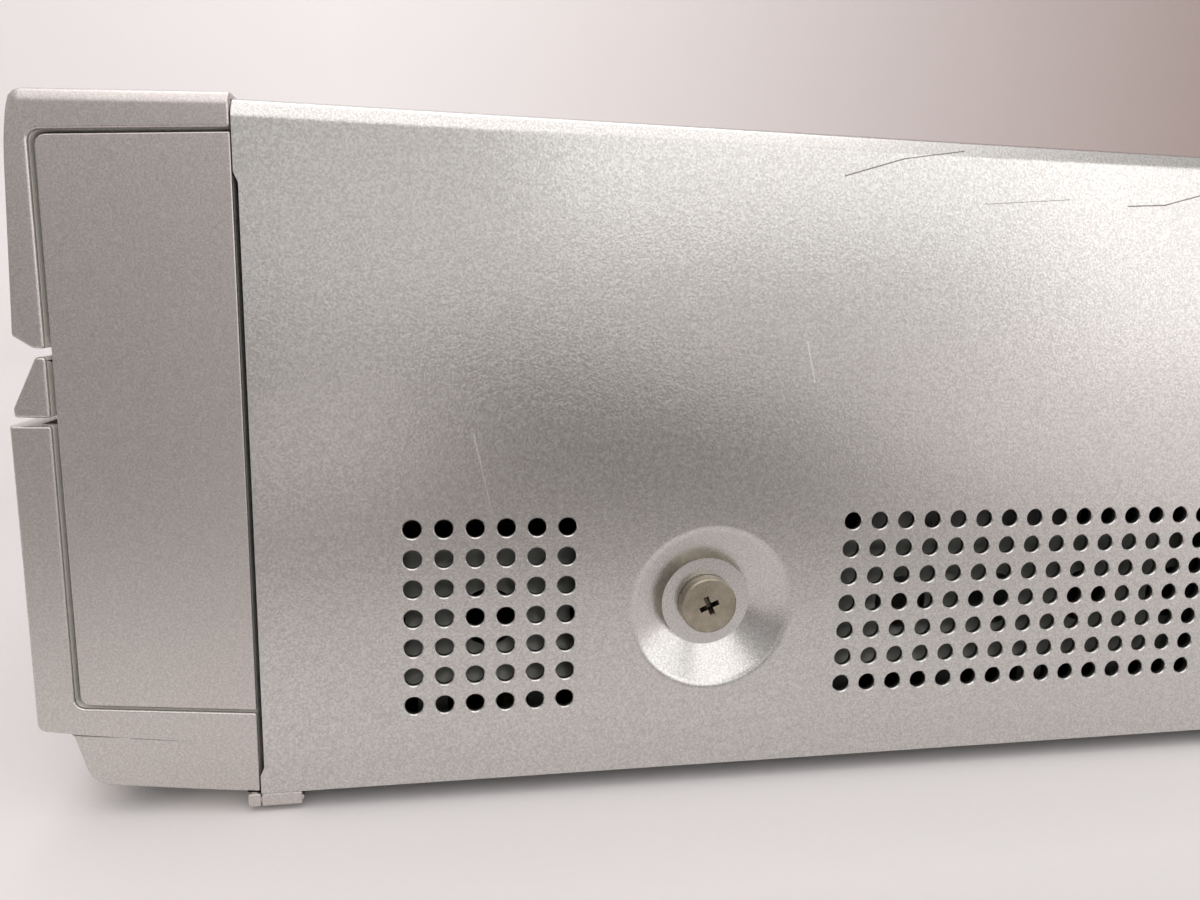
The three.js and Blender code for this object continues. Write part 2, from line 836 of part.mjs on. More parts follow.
function lowerFascia() {
  const profile = outline([
    [fasciaBack, lowerTop],
    [frontY, lowerTop],
    [frontY, lowerEdge, lowerEdgeRadius],
    [frontY + chinSetback, lowerEdge - chinDrop],
    [frontY + chinFootSetback, chinFootHeight, chinRadius],
    [fasciaRear, baseClearance],
    [fasciaRear, cheekBottomRear - grooveHigh],
    [fasciaBack, cheekBottomFront - grooveHigh, cheekCorner],
  ]);
  const body = drafted(alongX(profile, -halfWidth, halfWidth));
  const inside = halfWidth - mouldWall - sideDraft;
  const y0 = frontY - overrun;
  const y1 = fasciaBack + overrun;
  const nubs = [1, -1].flatMap((side) => {
    const outer = halfWidth - nubInset;
    const [x0, x1] = side > 0 ? [outer - nubWidth, outer] : [-outer, nubWidth - outer];
    const stem = block(x0, x1, seamY - nubFront, fasciaRear - fit, nubBottom, chinFootHeight);
    const tongue = block(x0, x1, seamY - nubFront + fit, seamY + nubRear, nubBottom, coverClearance - fit);
    return [stem, tongue];
  });
  const chinFloor = chinFootHeight + chinWall;
  const chinLineFront = lowerEdge - chinDrop - fit / 2;
  const chinSide = [
    [y0, chinLineFront],
    [frontY + chinSetback, chinLineFront],
    [seamY, chinLineRear],
    [seamY, -overrun],
    [y0, -overrun],
  ];
  const near = halfWidth + fit / 2;
  const far = halfWidth + 2 * overrun;
  const chinReliefs = [[near, far], [-far, -near]]
    .map(([x0, x1]) => drafted(alongX(chinSide, x0, x1), sideDraft + chinInset));
  const plain = cut(
    body,
    block(-inside, inside, frontY + lowerWall, y1, lowerEdge + lowerWall / 2, lowerTop + overrun),
    block(-inside, inside, cheekFront, fasciaRear + overrun, chinFloor, cheekBottomFront),
    block(windowLeft - fit, windowRight + fit, y0, y1, windowLow - fit, windowHigh + fit),
    block(doorLeft - fit, doorRight + fit, y0, y1, doorLow - doorFootGap, doorHigh + fit),
    ...doorPinHoles(),
    ...largeButtonCutters(y0, y1),
    ...chinReliefs,
  );
  return joined(plain, ...nubs);
}
add('lower_fascia', lowerFascia(), silverMoulding);

// The smoked window, with a step that seats behind the opening
function displayWindow() {
  const back = frontY + lowerWall + fit;
  const face = block(windowLeft, windowRight, frontY + fit, back + fit, windowLow, windowHigh);
  const edge = windowThickness;
  const step = block(windowLeft - edge, windowRight + edge, back, back + windowThickness,
    windowLow - edge, windowHigh + edge);
  return joined(face, step);
}
add('display_window', displayWindow(), smokedPlastic);

// The cassette flap hangs from two pins at its top edge and swings inwards
function cassetteFlap() {
  const half = flapThickness / 2;
  const round = arcPoints(0, 0, half, 0, Math.PI, 2 * cornerSteps);
  const profile = [...round, [-half, -flapLength], [half, -flapLength]];
  const plate = alongX(profile, slotLeft + fit, slotRight - fit);
  const pin = flapPinLength + 2 * fit;
  const pins = bar('x', slotLeft - flapPinLength, slotLeft + pin, flapPin / 2, [0, 0]);
  const otherPin = bar('x', slotRight - pin, slotRight + flapPinLength, flapPin / 2, [0, 0]);
  return joined(plate, pins, otherPin);
}
add('cassette_door', cassetteFlap(), silverMoulding, [0, flapPivotY, flapPivotZ], -upperSlope);

// The flap over the front sockets folds down on two pins near its lower edge
function socketDoor() {
  const y0 = frontY;
  const y1 = frontY + doorThickness;
  const middle = (doorLeft + doorRight) / 2;
  const pinZ = doorLow + doorPinHeight;
  const pinInside = 2 * doorPinLength;
  const plate = block(doorLeft, doorRight, y0, y1, doorLow, doorHigh);
  const notch = block(middle - doorNotch / 2, middle + doorNotch / 2, y0 - overrun, y1 + overrun,
    doorHigh - doorNotchHeight, doorHigh + overrun);
  const pins = [
    bar('x', doorLeft - doorPinLength, doorLeft + pinInside, doorPin / 2, [y1, pinZ]),
    bar('x', doorRight - pinInside, doorRight + doorPinLength, doorPin / 2, [y1, pinZ]),
  ];
  return joined(cut(plate, notch), ...pins);
}
add('av_door', socketDoor(), silverMoulding);

// Buttons: six small keys square to the slanted strip, and two large ones below
function smallKey() {
  const [width, height, stem] = [keyWidth / 2, keyHeight / 2, keyStem / 2];
  const stemEnd = (frontBoardY - fit - keyTravel - keyFaceY) / Math.cos(keyTilt) - stem;
  const cap = alongY(rectangle(-width, width, -height, height, stem / 2), -keyProud, keyDepth);
  return joined(cap, block(-stem, stem, keyDepth - fit, stemEnd, -stem, stem));
}
const keyNames = [
  'rewind_button',
  'play_button',
  'fast_forward_button',
  'stop_button',
  'pause_button',
  'record_button',
];
keyNames.forEach((name, i) => {
  add(name, smallKey(), keyMoulding, [keyX(i), keyFaceY, keyFaceZ], -keyTilt);
});

function largeButton(cap) {
  const end = frontBoardY - fit - keyTravel - frontY;
  return joined(cap, bar('y', buttonCap - fit, end, buttonStem / 2, [0, 0]));
}
const powerCap = bar('y', fit, buttonCap, powerButtonDiameter / 2, [0, 0], roundSides);
add('power_button', largeButton(powerCap), keyMoulding, [powerX, frontY, largeButtonHeight]);
const ejectOutline = rectangle(-ejectWidth / 2, ejectWidth / 2, -ejectHeight / 2, ejectHeight / 2);
add('eject_button', largeButton(alongY(ejectOutline, fit, buttonCap)), keyMoulding,
  [ejectX, frontY, largeButtonHeight]);

// The deck: a steel plate on four posts, with bores and slots for what runs through it
const guideSides = { supply: -1, takeup: 1 };
const guideStart = (side) => [deckCentre + side * guideStartOffset, drumY - guideStartLead];
const guideEnd = (side) => [deckCentre + side * guideEndOffset, drumY - guideEndLead];
const guideAngle = (side) => {
  const [x0, y0] = guideStart(side);
  const [x1, y1] = guideEnd(side);
  return Math.atan2(y1 - y0, x1 - x0);
};
const capstanPlace = [deckCentre + capstanOffset, drumY - capstanLead];

function guideSlotCutter(side) {
  const [x0, y0] = guideStart(side);
  const [x1, y1] = guideEnd(side);
  const length = Math.hypot(x1 - x0, y1 - y0);
  const half = guideSlot / 2 + fit;
  const slot = rectangle(-half, length + half, -half, half, half / 2);
  const cutter = alongZ(slot, deckFloor - overrun, deckTop + overrun);
  return cutter.rotateZ(guideAngle(side)).translate(x0, y0, 0);
}

function deckPlate() {
  const x0 = deckCentre - deckHalfWidth;
  const x1 = deckCentre + deckHalfWidth;
  const corner = deckPost;
  const plate = alongZ(rectangle(x0, x1, deckFrontY, deckRearY, corner), deckFloor, deckTop);
  const posts = [x0 + deckPostInset, x1 - deckPostInset].flatMap((x) => (
    [deckFrontY + deckPostInset, deckRearY - deckPostInset].map((y) => (
      bar('z', baseTop + fit, deckFloor + deckSheet / 2, deckPost / 2, [x, y])
    ))
  ));
  const bore = bar('z', deckFloor - overrun, deckTop + overrun, capstanShaft / 2 + fit, capstanPlace);
  return cut(joined(plate, ...posts), bore, guideSlotCutter(-1), guideSlotCutter(1));
}
add('deck_plate', deckPlate(), platedSteel);

// The carriage: fixed side brackets, a sliding pair of plates, and the cage that holds the cassette
const sliderRear = holderRear + fit + crossBarWidth;
const holderPinPlaces = [holderFront + holderPinInset, holderRear - holderPinInset];
const sliderPinPlaces = [holderFront + sliderPinInset, holderRear - sliderPinInset];

// A stretch of x on the left or right of the deck's middle line
function sideSpan(side, near, far) {
  return side > 0 ? [deckCentre + near, deckCentre + far] : [deckCentre - far, deckCentre - near];
}

function bracket(side) {
  const [x0, x1] = sideSpan(side, bracketInner, bracketOuter);
  const front = holderFront + overrun;
  const back = sliderRear + carriageTravel;
  const wall = block(x0, x1, front, back, seatZ, bracketTop);
  const [foot0, foot1] = sideSpan(side, bracketInner, bracketOuter + bracketFoot);
  const footPlate = block(foot0, foot1, front, back, seatZ, seatZ + bracketSheet);
  const slotHalf = holderPin / 2 + fit;
  const slot = block(x0 - overrun, x1 + overrun, sliderPinPlaces[0] - slotHalf,
    sliderPinPlaces[1] + carriageTravel + slotHalf,
    sliderPinHeight - slotHalf, sliderPinHeight + slotHalf);
  const bore = bar('x', x0 - overrun, x1 + overrun, gearAxle / 2 + fit, [gearY, gearZ]);
  const open = rectangle(front + 2 * bracketFoot, back - bracketFoot, sliderBottom + bracketFoot / 2,
    sliderPinHeight - bracketFoot, bracketFoot / 2);
  const body = cut(joined(wall, footPlate), slot, alongX(open, x0 - overrun, x1 + overrun));
  return side > 0 ? cut(body, bore) : body;
}
add('bracket_left', bracket(-1), platedSteel);
add('bracket_right', bracket(1), platedSteel);

function rackProfile() {
  const half = (toothPitch / 2 - toothBacklash) / 2;
  const slope = Math.tan(gearPressure);
  const tip = rackPitchZ - toothTip;
  const root = rackPitchZ + rackRoot;
  const tipHalf = half - toothTip * slope;
  const rootHalf = half + rackRoot * slope;
  const points = [];
  const count = Math.floor((gearY - toothPitch - holderFront) / toothPitch);
  for (let k = count; k >= 0; k -= 1) {
    const y = gearY - k * toothPitch - toothPitch / 2;
    points.push([y - rootHalf, root], [y - tipHalf, tip], [y + tipHalf, tip], [y + rootHalf, root]);
  }
  return [
    ...points,
    [sliderRear, root],
    [sliderRear, root + crossBarHeight],
    [holderFront, root + crossBarHeight],
    [holderFront, root],
  ];
}

function sliderPlate(side) {
  const [x0, x1] = sideSpan(side, sliderInner, sliderOuter);
  const plate = block(x0, x1, holderFront, sliderRear, sliderBottom, sliderTop);
  const slotHalf = holderPin / 2 + fit;
  const slots = holderPinPlaces.map((y) => block(x0 - overrun, x1 + overrun, y - slotHalf, y + slotHalf,
    holderPinHeight - carriageDrop - slotHalf, holderPinHeight + slotHalf));
  const [pin0, pin1] = sideSpan(side, (sliderInner + sliderOuter) / 2, bracketOuter);
  const pins = sliderPinPlaces.map((y) => bar('x', pin0, pin1, holderPin / 2, [y, sliderPinHeight]));
  const parts = [cut(plate, ...slots), ...pins];
  if (side > 0) parts.push(alongX(rackProfile(), x0, x1));
  return joined(...parts);
}

function carriageSlider() {
  const inner = sliderInner + sliderSheet / 2;
  const top = sliderPinHeight + fit;
  const barFront = holderRear + fit;
  const crossBar = block(deckCentre - inner, deckCentre + inner, barFront, barFront + crossBarWidth,
    top - crossBarHeight, top);
  return joined(sliderPlate(-1), sliderPlate(1), crossBar);
}
add('carriage_slider', carriageSlider(), platedSteel);

// The cage: a roof, two sides, and lips under the cassette's edges with a stop at the back of each
function cassetteHolder() {
  const roof = block(deckCentre - holderOuter, deckCentre + holderOuter, holderFront, holderRear,
    slotTop, slotTop + holderSheet);
  const middle = (holderFront + holderRear) / 2;
  const opening = alongZ(rectangle(deckCentre - holderLength / 2, deckCentre + holderLength / 2,
    middle - holderLength / 4, middle + holderLength / 4, holderStop / 2), slotTop - overrun, coverTop);
  const parts = [cut(roof, opening)];
  const lipFloor = slotFloor - holderSheet;
  for (const side of [-1, 1]) {
    const [x0, x1] = sideSpan(side, slotWidth / 2, holderOuter);
    parts.push(block(x0, x1, holderFront, holderRear, lipFloor, slotTop + holderSheet));
    const [lip0, lip1] = sideSpan(side, slotWidth / 2 - holderLip, holderOuter);
    parts.push(block(lip0, lip1, holderFront, holderRear, lipFloor, slotFloor));
    parts.push(block(lip0, lip1, holderRear - holderSheet, holderRear, lipFloor, slotFloor + holderStop));
    const [pin0, pin1] = sideSpan(side, slotWidth / 2 + holderSheet / 2, sliderOuter + fit);
    for (const y of holderPinPlaces) {
      parts.push(bar('x', pin0, pin1, holderPin / 2, [y, holderPinHeight]));
    }
  }
  return joined(...parts);
}
add('cassette_holder', cassetteHolder(), platedSteel);

// Involute spur gear about z, with a tooth on the +y side, turned on by a share of one tooth.
// The flank's shares of the pitch radius give each flank its middle points.
function gearOutline(teeth, module, toothShare, flank) {
  const radius = teeth * module / 2;
  const base = radius * Math.cos(gearPressure);
  const half = (Math.PI * module / 2 - toothBacklash) / 2 / radius;
  const involute = (angle) => Math.tan(angle) - angle;
  const halfAngle = (r) => {
    if (r <= base) return half + involute(gearPressure);
    return half + involute(gearPressure) - involute(Math.acos(base / r));
  };
  const root = radius - toothRootShare * module;
  const tip = radius + toothTipShare * module;
  const points = [];
  for (let i = 0; i < teeth; i += 1) {
    const centre = 2 * Math.PI * (i + toothShare) / teeth + Math.PI / 2;
    const rise = [root, ...flank.map((share) => radius * share), tip];
    const sides = [...rise.map((r) => [r, -1]), ...rise.reverse().map((r) => [r, 1])];
    for (const [r, sign] of sides) {
      const angle = centre + sign * halfAngle(r);
      points.push([r * Math.cos(angle), r * Math.sin(angle)]);
    }
  }
  return points;
}

// The gear under the rack turns on an axle through the right bracket
function carriageGear() {
  const wheel = alongZ(gearOutline(gearTeeth, gearModule, 0, [1]), 0, gearWidth);
  const end = deckCentre + bracketOuter + gearAxle / 2 - (deckCentre + sliderInner);
  return joined(wheel, bar('z', gearWidth - fit, end, gearAxle / 2, [0, 0]));
}
// The outline's own y points up once its axis lies along x
const uprightGear = carriageGear().rotateZ(Math.PI / 2).rotateY(Math.PI / 2);
add('carriage_gear', uprightGear, whiteNylon, [deckCentre + sliderInner, gearY, gearZ]);

// Reels: two tables with keyed spindles, and the idler wheel between them
function reelTable() {
  const disc = turned([
    [0, 0],
    [reelRadius, 0],
    [reelRadius, reelDisc],
    [reelHub, reelDisc],
    [reelHub, reelDisc + reelHubHeight],
    [reelSpindle, reelDisc + reelHubHeight],
    [reelSpindle, reelDisc + reelHubHeight + reelSpindleHeight * reelTipShare],
    [reelSpindle / 3, reelDisc + reelHubHeight + reelSpindleHeight],
    [0, reelDisc + reelHubHeight + reelSpindleHeight],
  ]);
  const key = block(reelSpindle - fit, reelSpindle * reelKeyShare, -fit * 2, fit * 2,
    reelDisc + reelHubHeight - fit, reelDisc + reelHubHeight + reelSpindleHeight / 2);
  const keys = [0, 1, 2].map((i) => key.clone().rotateZ(i * 2 * Math.PI / 3));
  return joined(disc, ...keys);
}
add('supply_reel_table', reelTable(), blackNylon, [deckCentre - reelSpacing / 2, reelY, seatZ]);
add('takeup_reel_table', reelTable(), blackNylon, [deckCentre + reelSpacing / 2, reelY, seatZ]);
const idlerRadius = reelSpacing / 2 - reelRadius - fit;
const idler = turned([
  [0, 0],
  [idlerRadius, 0],
  [idlerRadius, idlerDisc],
  [idlerRadius - idlerDisc, idlerDisc],
  [idlerRadius - idlerDisc, idlerDisc / 2],
  [idlerDisc, idlerDisc / 2],
  [idlerDisc, idlerDisc],
  [0, idlerDisc],
]);
add('idler_wheel', idler, whiteNylon, [deckCentre, reelY, seatZ]);

// The head drum leans a little: a fixed lower half on its base, and the spinning upper half
const drumRadius = drumDiameter / 2;
const lowerDrum = turned([
  [0, 0],
  [drumRadius - 2 * fit, 0],
  [drumRadius, 2 * fit],
  [drumRadius, lowerDrumHeight],
  [0, lowerDrumHeight],
], largeSides);
add('lower_drum', lowerDrum, aluminium, [deckCentre, drumY, seatZ + drumBase], drumTilt);
const upperDrum = turned([
  [0, 0],
  [drumRadius, 0],
  [drumRadius, upperDrumHeight],
  [drumRadius * drumRimShare, upperDrumHeight],
  [drumRadius * drumRimShare, upperDrumHeight - drumShaft / 2],
  [drumShaft, upperDrumHeight - drumShaft / 2],
  [drumShaft, upperDrumHeight],
  [0, upperDrumHeight],
], largeSides);
const upperRise = lowerDrumHeight + fit;
add('upper_drum', upperDrum, aluminium, [
  deckCentre,
  drumY - upperRise * Math.sin(drumTilt),
  seatZ + drumBase + upperRise * Math.cos(drumTilt),
], drumTilt);

// The capstan's shaft stands through the deck, with its flywheel underneath
const flywheelRadius = flywheelDiameter / 2;
const capstan = turned([
  [0, -flywheelWidth],
  [flywheelRadius, -flywheelWidth],
  [flywheelRadius, 0],
  [capstanShaft * 2, 0],
  [capstanShaft * 2, flywheelDrop - fit],
  [capstanShaft / 2, flywheelDrop - fit],
  [capstanShaft / 2, flywheelDrop + deckSheet + capstanRise],
  [0, flywheelDrop + deckSheet + capstanRise],
]);
add('capstan_flywheel', capstan, platedSteel, [...capstanPlace, deckFloor - flywheelDrop]);

// Swinging arms: a post on the deck, the arm, and a pin for what it carries
function swingArm(reach, direction, pinRadius) {
  const half = armWidth / 2;
  const ends = rectangle(-half, reach + half, -half, half, half * armRoundShare);
  const arm = alongZ(ends, armHeight, armHeight + armSheet);
  const pivot = bar('z', 0, armHeight + armSheet + fit, half * armPivotShare, [0, 0]);
  const pin = bar('z', armHeight + fit, guidePostHeight, pinRadius, [reach, 0]);
  return joined(arm, pivot, pin).rotateZ(direction);
}
const pinchPivot = [deckCentre + pinchPivotOffset, drumY - pinchPivotLead];
const toCapstan = Math.hypot(pinchPivot[0] - capstanPlace[0], pinchPivot[1] - capstanPlace[1]);
const pinchReach = toCapstan - (pinchRollerDiameter + capstanShaft) / 2 - 2 * fit;
const pinchClosed = Math.atan2(capstanPlace[1] - pinchPivot[1], capstanPlace[0] - pinchPivot[0]);
const pinchRest = pinchClosed - pinchOpening;
add('pinch_arm', swingArm(pinchReach, pinchRest, capstanShaft / 2), platedSteel, [...pinchPivot, seatZ]);
const rollerBase = armHeight + armSheet + fit;
const rollerBore = capstanShaft / 2 + fit;
const pinchRoller = cut(
  bar('z', 0, pinchRollerHeight - armSheet, pinchRollerDiameter / 2, [0, 0], roundSides),
  bar('z', -overrun, pinchRollerHeight + overrun, rollerBore, [0, 0]),
);
add('pinch_roller', pinchRoller, blackRubber, [
  pinchPivot[0] + pinchReach * Math.cos(pinchRest),
  pinchPivot[1] + pinchReach * Math.sin(pinchRest),
  seatZ + rollerBase,
]);
const tensionPivot = [deckCentre + tensionPivotOffset, drumY - tensionPivotLead];
add('tension_arm', swingArm(tensionLength, 0, postDiameter / 2), platedSteel, [...tensionPivot, seatZ]);

// Guide carriages: a block on the deck, a tongue in its slot, and a flanged roller post
function guideCarriage() {
  const half = guideBlock / 2;
  const roller = guideRoller / 2;
  const top = guidePostHeight;
  const base = alongZ(rectangle(-half, half, -half, half, half / 3), 0, guideBlockHeight);
  const post = turned([
    [0, guideBlockHeight - fit],
    [roller + fit * 2, guideBlockHeight - fit],
    [roller + fit * 2, guideBlockHeight + guideRollerGap],
    [roller, guideBlockHeight + guideRollerGap],
    [roller, top - 3 * fit],
    [roller + fit * 2, top - 3 * fit],
    [roller + fit * 2, top],
    [0, top],
  ], smallSides);
  const tongue = bar('z', deckFloor - seatZ - deckSheet, fit, guideSlot / 2, [0, 0]);
  return joined(base, post, tongue);
}
for (const [name, side] of Object.entries(guideSides)) {
  const body = guideCarriage().rotateZ(guideAngle(side));
  add(`guide_${name}`, body, blackNylon, [...guideStart(side), seatZ]);
}

// The mode gear on its tall hub, and the loading motor whose worm turns it
const modePlace = [deckCentre + modeOffset, drumY - modeLead];
const modeRadius = modeTeeth * gearModule / 2;
function modeGear() {
  const wheel = alongZ(gearOutline(modeTeeth, gearModule, modeToothPhase, []), modeLift, modeLift + modeWidth);
  return joined(wheel, bar('z', 0, modeLift + modeWidth + fit, modeRadius / 3, [0, 0]));
}
add('mode_gear', modeGear(), whiteNylon, [...modePlace, seatZ]);

function loadingMotor() {
  const ridge = wormDiameter / 2;
  const core = ridge - toothTip;
  const step = modeRadius / wormRidgeCount;
  const profile = [[0, 0], [core, 0]];
  for (let i = 0; i < wormRidgeCount; i += 1) {
    const z = step * (2 * i + wormFootShare);
    profile.push([core, z], [ridge, z + step / 2]);
    profile.push([ridge, z + step * wormCrestShare], [core, z + step * wormRunoutShare]);
  }
  const start = modeRadius * 2 + overrun;
  const body = motorDiameter / 2;
  const boss = body * motorBossShare;
  profile.push([core, start], [boss, start], [boss, start + 2 * fit], [body, start + 2 * fit]);
  profile.push([body, start + motorLength], [0, start + motorLength]);
  return turned(profile, smallSides).rotateX(-Math.PI / 2);
}
const wormX = modePlace[0] + modeRadius + toothTip + wormDiameter / 2 + fit;
const motorZ = seatZ + modeLift + modeWidth / 2;
add('loading_motor', loadingMotor(), ironCore, [wormX, modePlace[1] - modeRadius, motorZ]);

// Tape heads on their posts
function tapeHead() {
  const [width, depth] = [headWidth / 2, headDepth / 2];
  const low = armHeight;
  const head = alongZ(rectangle(-width, width, -depth, depth, depth / 2), low, low + headHeight);
  const foot = rectangle(-width - overrun, width + overrun, -depth, depth, depth / 3);
  const plate = alongZ(foot, low - armSheet, low);
  return joined(head, plate, bar('z', 0, low - fit, postDiameter / 2, [0, 0]));
}
add('ac_head', tapeHead(), nickel, [deckCentre + audioHeadOffset, drumY - audioHeadLead, seatZ]);
add('erase_head', tapeHead(), nickel, [deckCentre + eraseHeadOffset, drumY - eraseHeadLead, seatZ]);

// Circuit boards on posts, and what stands on them
const boardLeft = deckCentre + deckHalfWidth + boardGap;
const boardRight = flangeX - baseSheet - boardSideGap;
const mainBoardWidth = (boardRight - boardLeft - boardGap) * mainBoardShare;
const powerLeft = boardLeft + mainBoardWidth + boardGap;
const powerBoardWidth = boardRight - powerLeft;
const powerCentre = powerLeft + powerBoardWidth / 2;
const panelInner = rearPanelY - rearSheet;
const boardRear = panelInner - inletDepth - boardMargin;
const boardTop = boardZ + boardThickness;

function circuitBoardOnPosts(x0, width, setback) {
  const front = seamY + setback;
  const board = block(x0, x0 + width, front, boardRear, boardZ, boardTop);
  const posts = [x0 + boardMargin, x0 + width - boardMargin].flatMap((x) => (
    [front + boardMargin, boardRear - boardMargin].map((y) => (
      bar('z', baseTop + fit, boardZ + boardThickness / 2, boardPost / 2, [x, y], ventSides)
    ))
  ));
  return joined(board, ...posts);
}
add('main_board', circuitBoardOnPosts(boardLeft, mainBoardWidth, mainBoardSetback), circuitBoard);
add('power_board', circuitBoardOnPosts(powerLeft, powerBoardWidth, powerBoardSetback), circuitBoard);

// The transformer: a laminated core with its winding bulging on both sides
function transformer() {
  const half = transformerWidth / 2;
  const depth = transformerDepth / 2;
  const middle = transformerHeight / 2;
  const core = alongY(rectangle(-half, half, 0, transformerHeight), -depth, depth);
  const wound = half * windingShare;
  const winding = alongY(rectangle(-wound, wound, middle - windingHeight / 2,
    middle + windingHeight / 2, boardMargin), -depth - windingBulge, depth + windingBulge);
  return joined(core, winding);
}
const powerZ = boardTop + componentGap;
const transformerY = boardRear - transformerDepth / 2 - windingBulge - boardMargin;
add('transformer', transformer(), ironCore, [powerCentre, transformerY, powerZ]);

// The heat sink: a comb of fins
function heatSink() {
  const pitch = (sinkWidth - sinkFin) / (sinkFinCount - 1);
  const parts = [block(0, sinkWidth, 0, sinkBase, 0, sinkHeight)];
  for (let i = 0; i < sinkFinCount; i += 1) {
    parts.push(block(i * pitch, i * pitch + sinkFin, sinkBase / 2, sinkDepth, 0, sinkHeight));
  }
  return joined(...parts).rotateZ(Math.PI / 2);
}
const sinkX = powerLeft + powerBoardWidth - boardMargin;
const sinkY = transformerY - transformerDepth / 2 - windingBulge - sinkWidth - boardMargin;
add('heat_sink', heatSink(), aluminium, [sinkX, sinkY, powerZ]);

// Sockets at the back: a tuner can with two coaxial sockets, six phono jacks, and the mains inlet
const tunerX = boardLeft + mainBoardWidth / 2;
const jackX = -jackBlockWidth / 2;
const socketPlaces = [-1, 1].map((side) => (
  [tunerX + side * socketSpacing / 2, tunerBase + tunerHeight / 2]
));
const jackPlaces = [0, 1, 2].flatMap((column) => [0, 1].map((row) => [
  jackX + (column - 1) * jackPitch,
  jackBlockBase + jackBlockHeight / 2 + row * jackPitch - jackPitch / 2,
]));

function tunerCan() {
  const back = panelInner - fit;
  const can = alongY(rectangle(tunerX - tunerWidth / 2, tunerX + tunerWidth / 2, tunerBase,
    tunerBase + tunerHeight, boardMargin / 2), back - tunerDepth, back);
  const sockets = socketPlaces.map((place) => (
    bar('y', back - overrun, rearY, socketDiameter / 2, place)
  ));
  const bores = socketPlaces.map((place) => (
    bar('y', back, rearY + overrun, socketBore / 2, place, ventSides)
  ));
  return cut(joined(can, ...sockets), ...bores);
}
add('tuner_can', tunerCan(), nickel);

function rearJackBlock() {
  const back = panelInner - fit;
  const half = jackBlockWidth / 2;
  const body = block(jackX - half, jackX + half, back - jackBlockDepth, back,
    jackBlockBase, jackBlockBase + jackBlockHeight);
  const jacks = jackPlaces.map((place) => (
    bar('y', back - overrun, rearPanelY + jackReach, jackDiameter / 2, place)
  ));
  const bores = jackPlaces.map((place) => (
    bar('y', back, rearPanelY + jackReach + overrun, jackBore / 2, place, ventSides)
  ));
  return cut(joined(body, ...jacks), ...bores);
}
add('rear_jack_block', rearJackBlock(), brass);

const inletOutline = (grow) => rectangle(
  powerCentre - inletWidth / 2 - grow,
  powerCentre + inletWidth / 2 + grow,
  inletBase - grow,
  inletBase + inletHeight + grow,
  inletWall,
);
function mainsInlet() {
  const rim = rearPanelY + 2 * fit;
  const body = alongY(inletOutline(0), rearPanelY - inletDepth, rim);
  const recess = alongY(inletOutline(-inletWall), rearPanelY - inletRecess, rim + overrun);
  const z = inletBase + inletHeight / 2;
  const blades = [-1, 1].map((side) => (
    bar('y', rearPanelY - inletRecess - fit, rearPanelY - overrun, postDiameter / 2,
      [powerCentre + side * inletBladeSpacing / 2, z], ventSides)
  ));
  return joined(cut(body, recess), ...blades);
}
add('ac_inlet', mainsInlet(), blackNylon);

function rearPanel() {
  const half = flangeX;
  const y0 = panelInner - overrun;
  const y1 = rearPanelY + overrun;
  const top = coverTop - coverSheet - fit;
  const plate = block(-half, half, panelInner, rearPanelY, baseClearance, top);
  const cutters = [
    ...socketPlaces.map((place) => bar('y', y0, y1, socketDiameter / 2 + fit, place, smallSides)),
    ...jackPlaces.map((place) => bar('y', y0, y1, jackDiameter / 2 + fit, place)),
    ...rearScrewPlaces().map((place) => bar('y', y0, y1, screwShank / 2 + fit, place)),
    alongY(inletOutline(fit), y0, y1),
  ];
  return cut(plate, ...cutters);
}
add('rear_panel', rearPanel(), platedSteel);

// Behind the front: the switch board, the display tube and the front sockets
function frontBoard() {
  const y1 = frontBoardY + boardThickness;
  const left = powerX - buttonStem * 3;
  const right = keyX(keyCount - 1) + keyWidth;
  const notchLeft = doorLeft - boardMargin;
  const notchTop = doorHigh + boardMargin / 2;
  const points = [
    [left, frontBoardLow],
    [notchLeft, frontBoardLow],
    [notchLeft, notchTop],
    [right, notchTop],
    [right, frontBoardHigh],
    [left, frontBoardHigh],
  ];
  return alongY(points, frontBoardY, y1);
}
add('front_board', frontBoard(), circuitBoard);

const tubeBack = frontBoardY - fit;
const tubeEdge = boardMargin;
const tubeFace = rectangle(
  windowLeft + tubeEdge,
  windowRight - tubeEdge,
  windowLow + tubeEdge,
  windowHigh - tubeEdge,
  tubeEdge / 2,
);
const displayTube = alongY(tubeFace, tubeBack - tubeThickness, tubeBack);
add('display_tube', displayTube, tubeGlass);

function frontJackBlock() {
  const front = wallBack + fit;
  const body = block(doorLeft - boardMargin + fit, doorRight + boardMargin, front, front + frontBlockDepth,
    doorLow - boardMargin / 2, doorHigh + fit * 2);
  const middle = (doorLeft + doorRight) / 2;
  const places = [-1, 0, 1].map((i) => [middle + i * frontJackPitch, frontJackHeight]);
  const jacks = places.map((place) => (
    bar('y', front - frontJackReach, front + fit, jackDiameter / 2, place)
  ));
  const bores = places.map((place) => (
    bar('y', front - frontJackReach - overrun, front, jackBore / 2, place, ventSides)
  ));
  return cut(joined(body, ...jacks), ...bores);
}
add('front_jack_block', frontJackBlock(), brass);

export default recorder;
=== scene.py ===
# A front-loading video cassette recorder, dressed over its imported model, in metres.
import json
import math

import bpy
from mathutils import Euler, Matrix, Vector

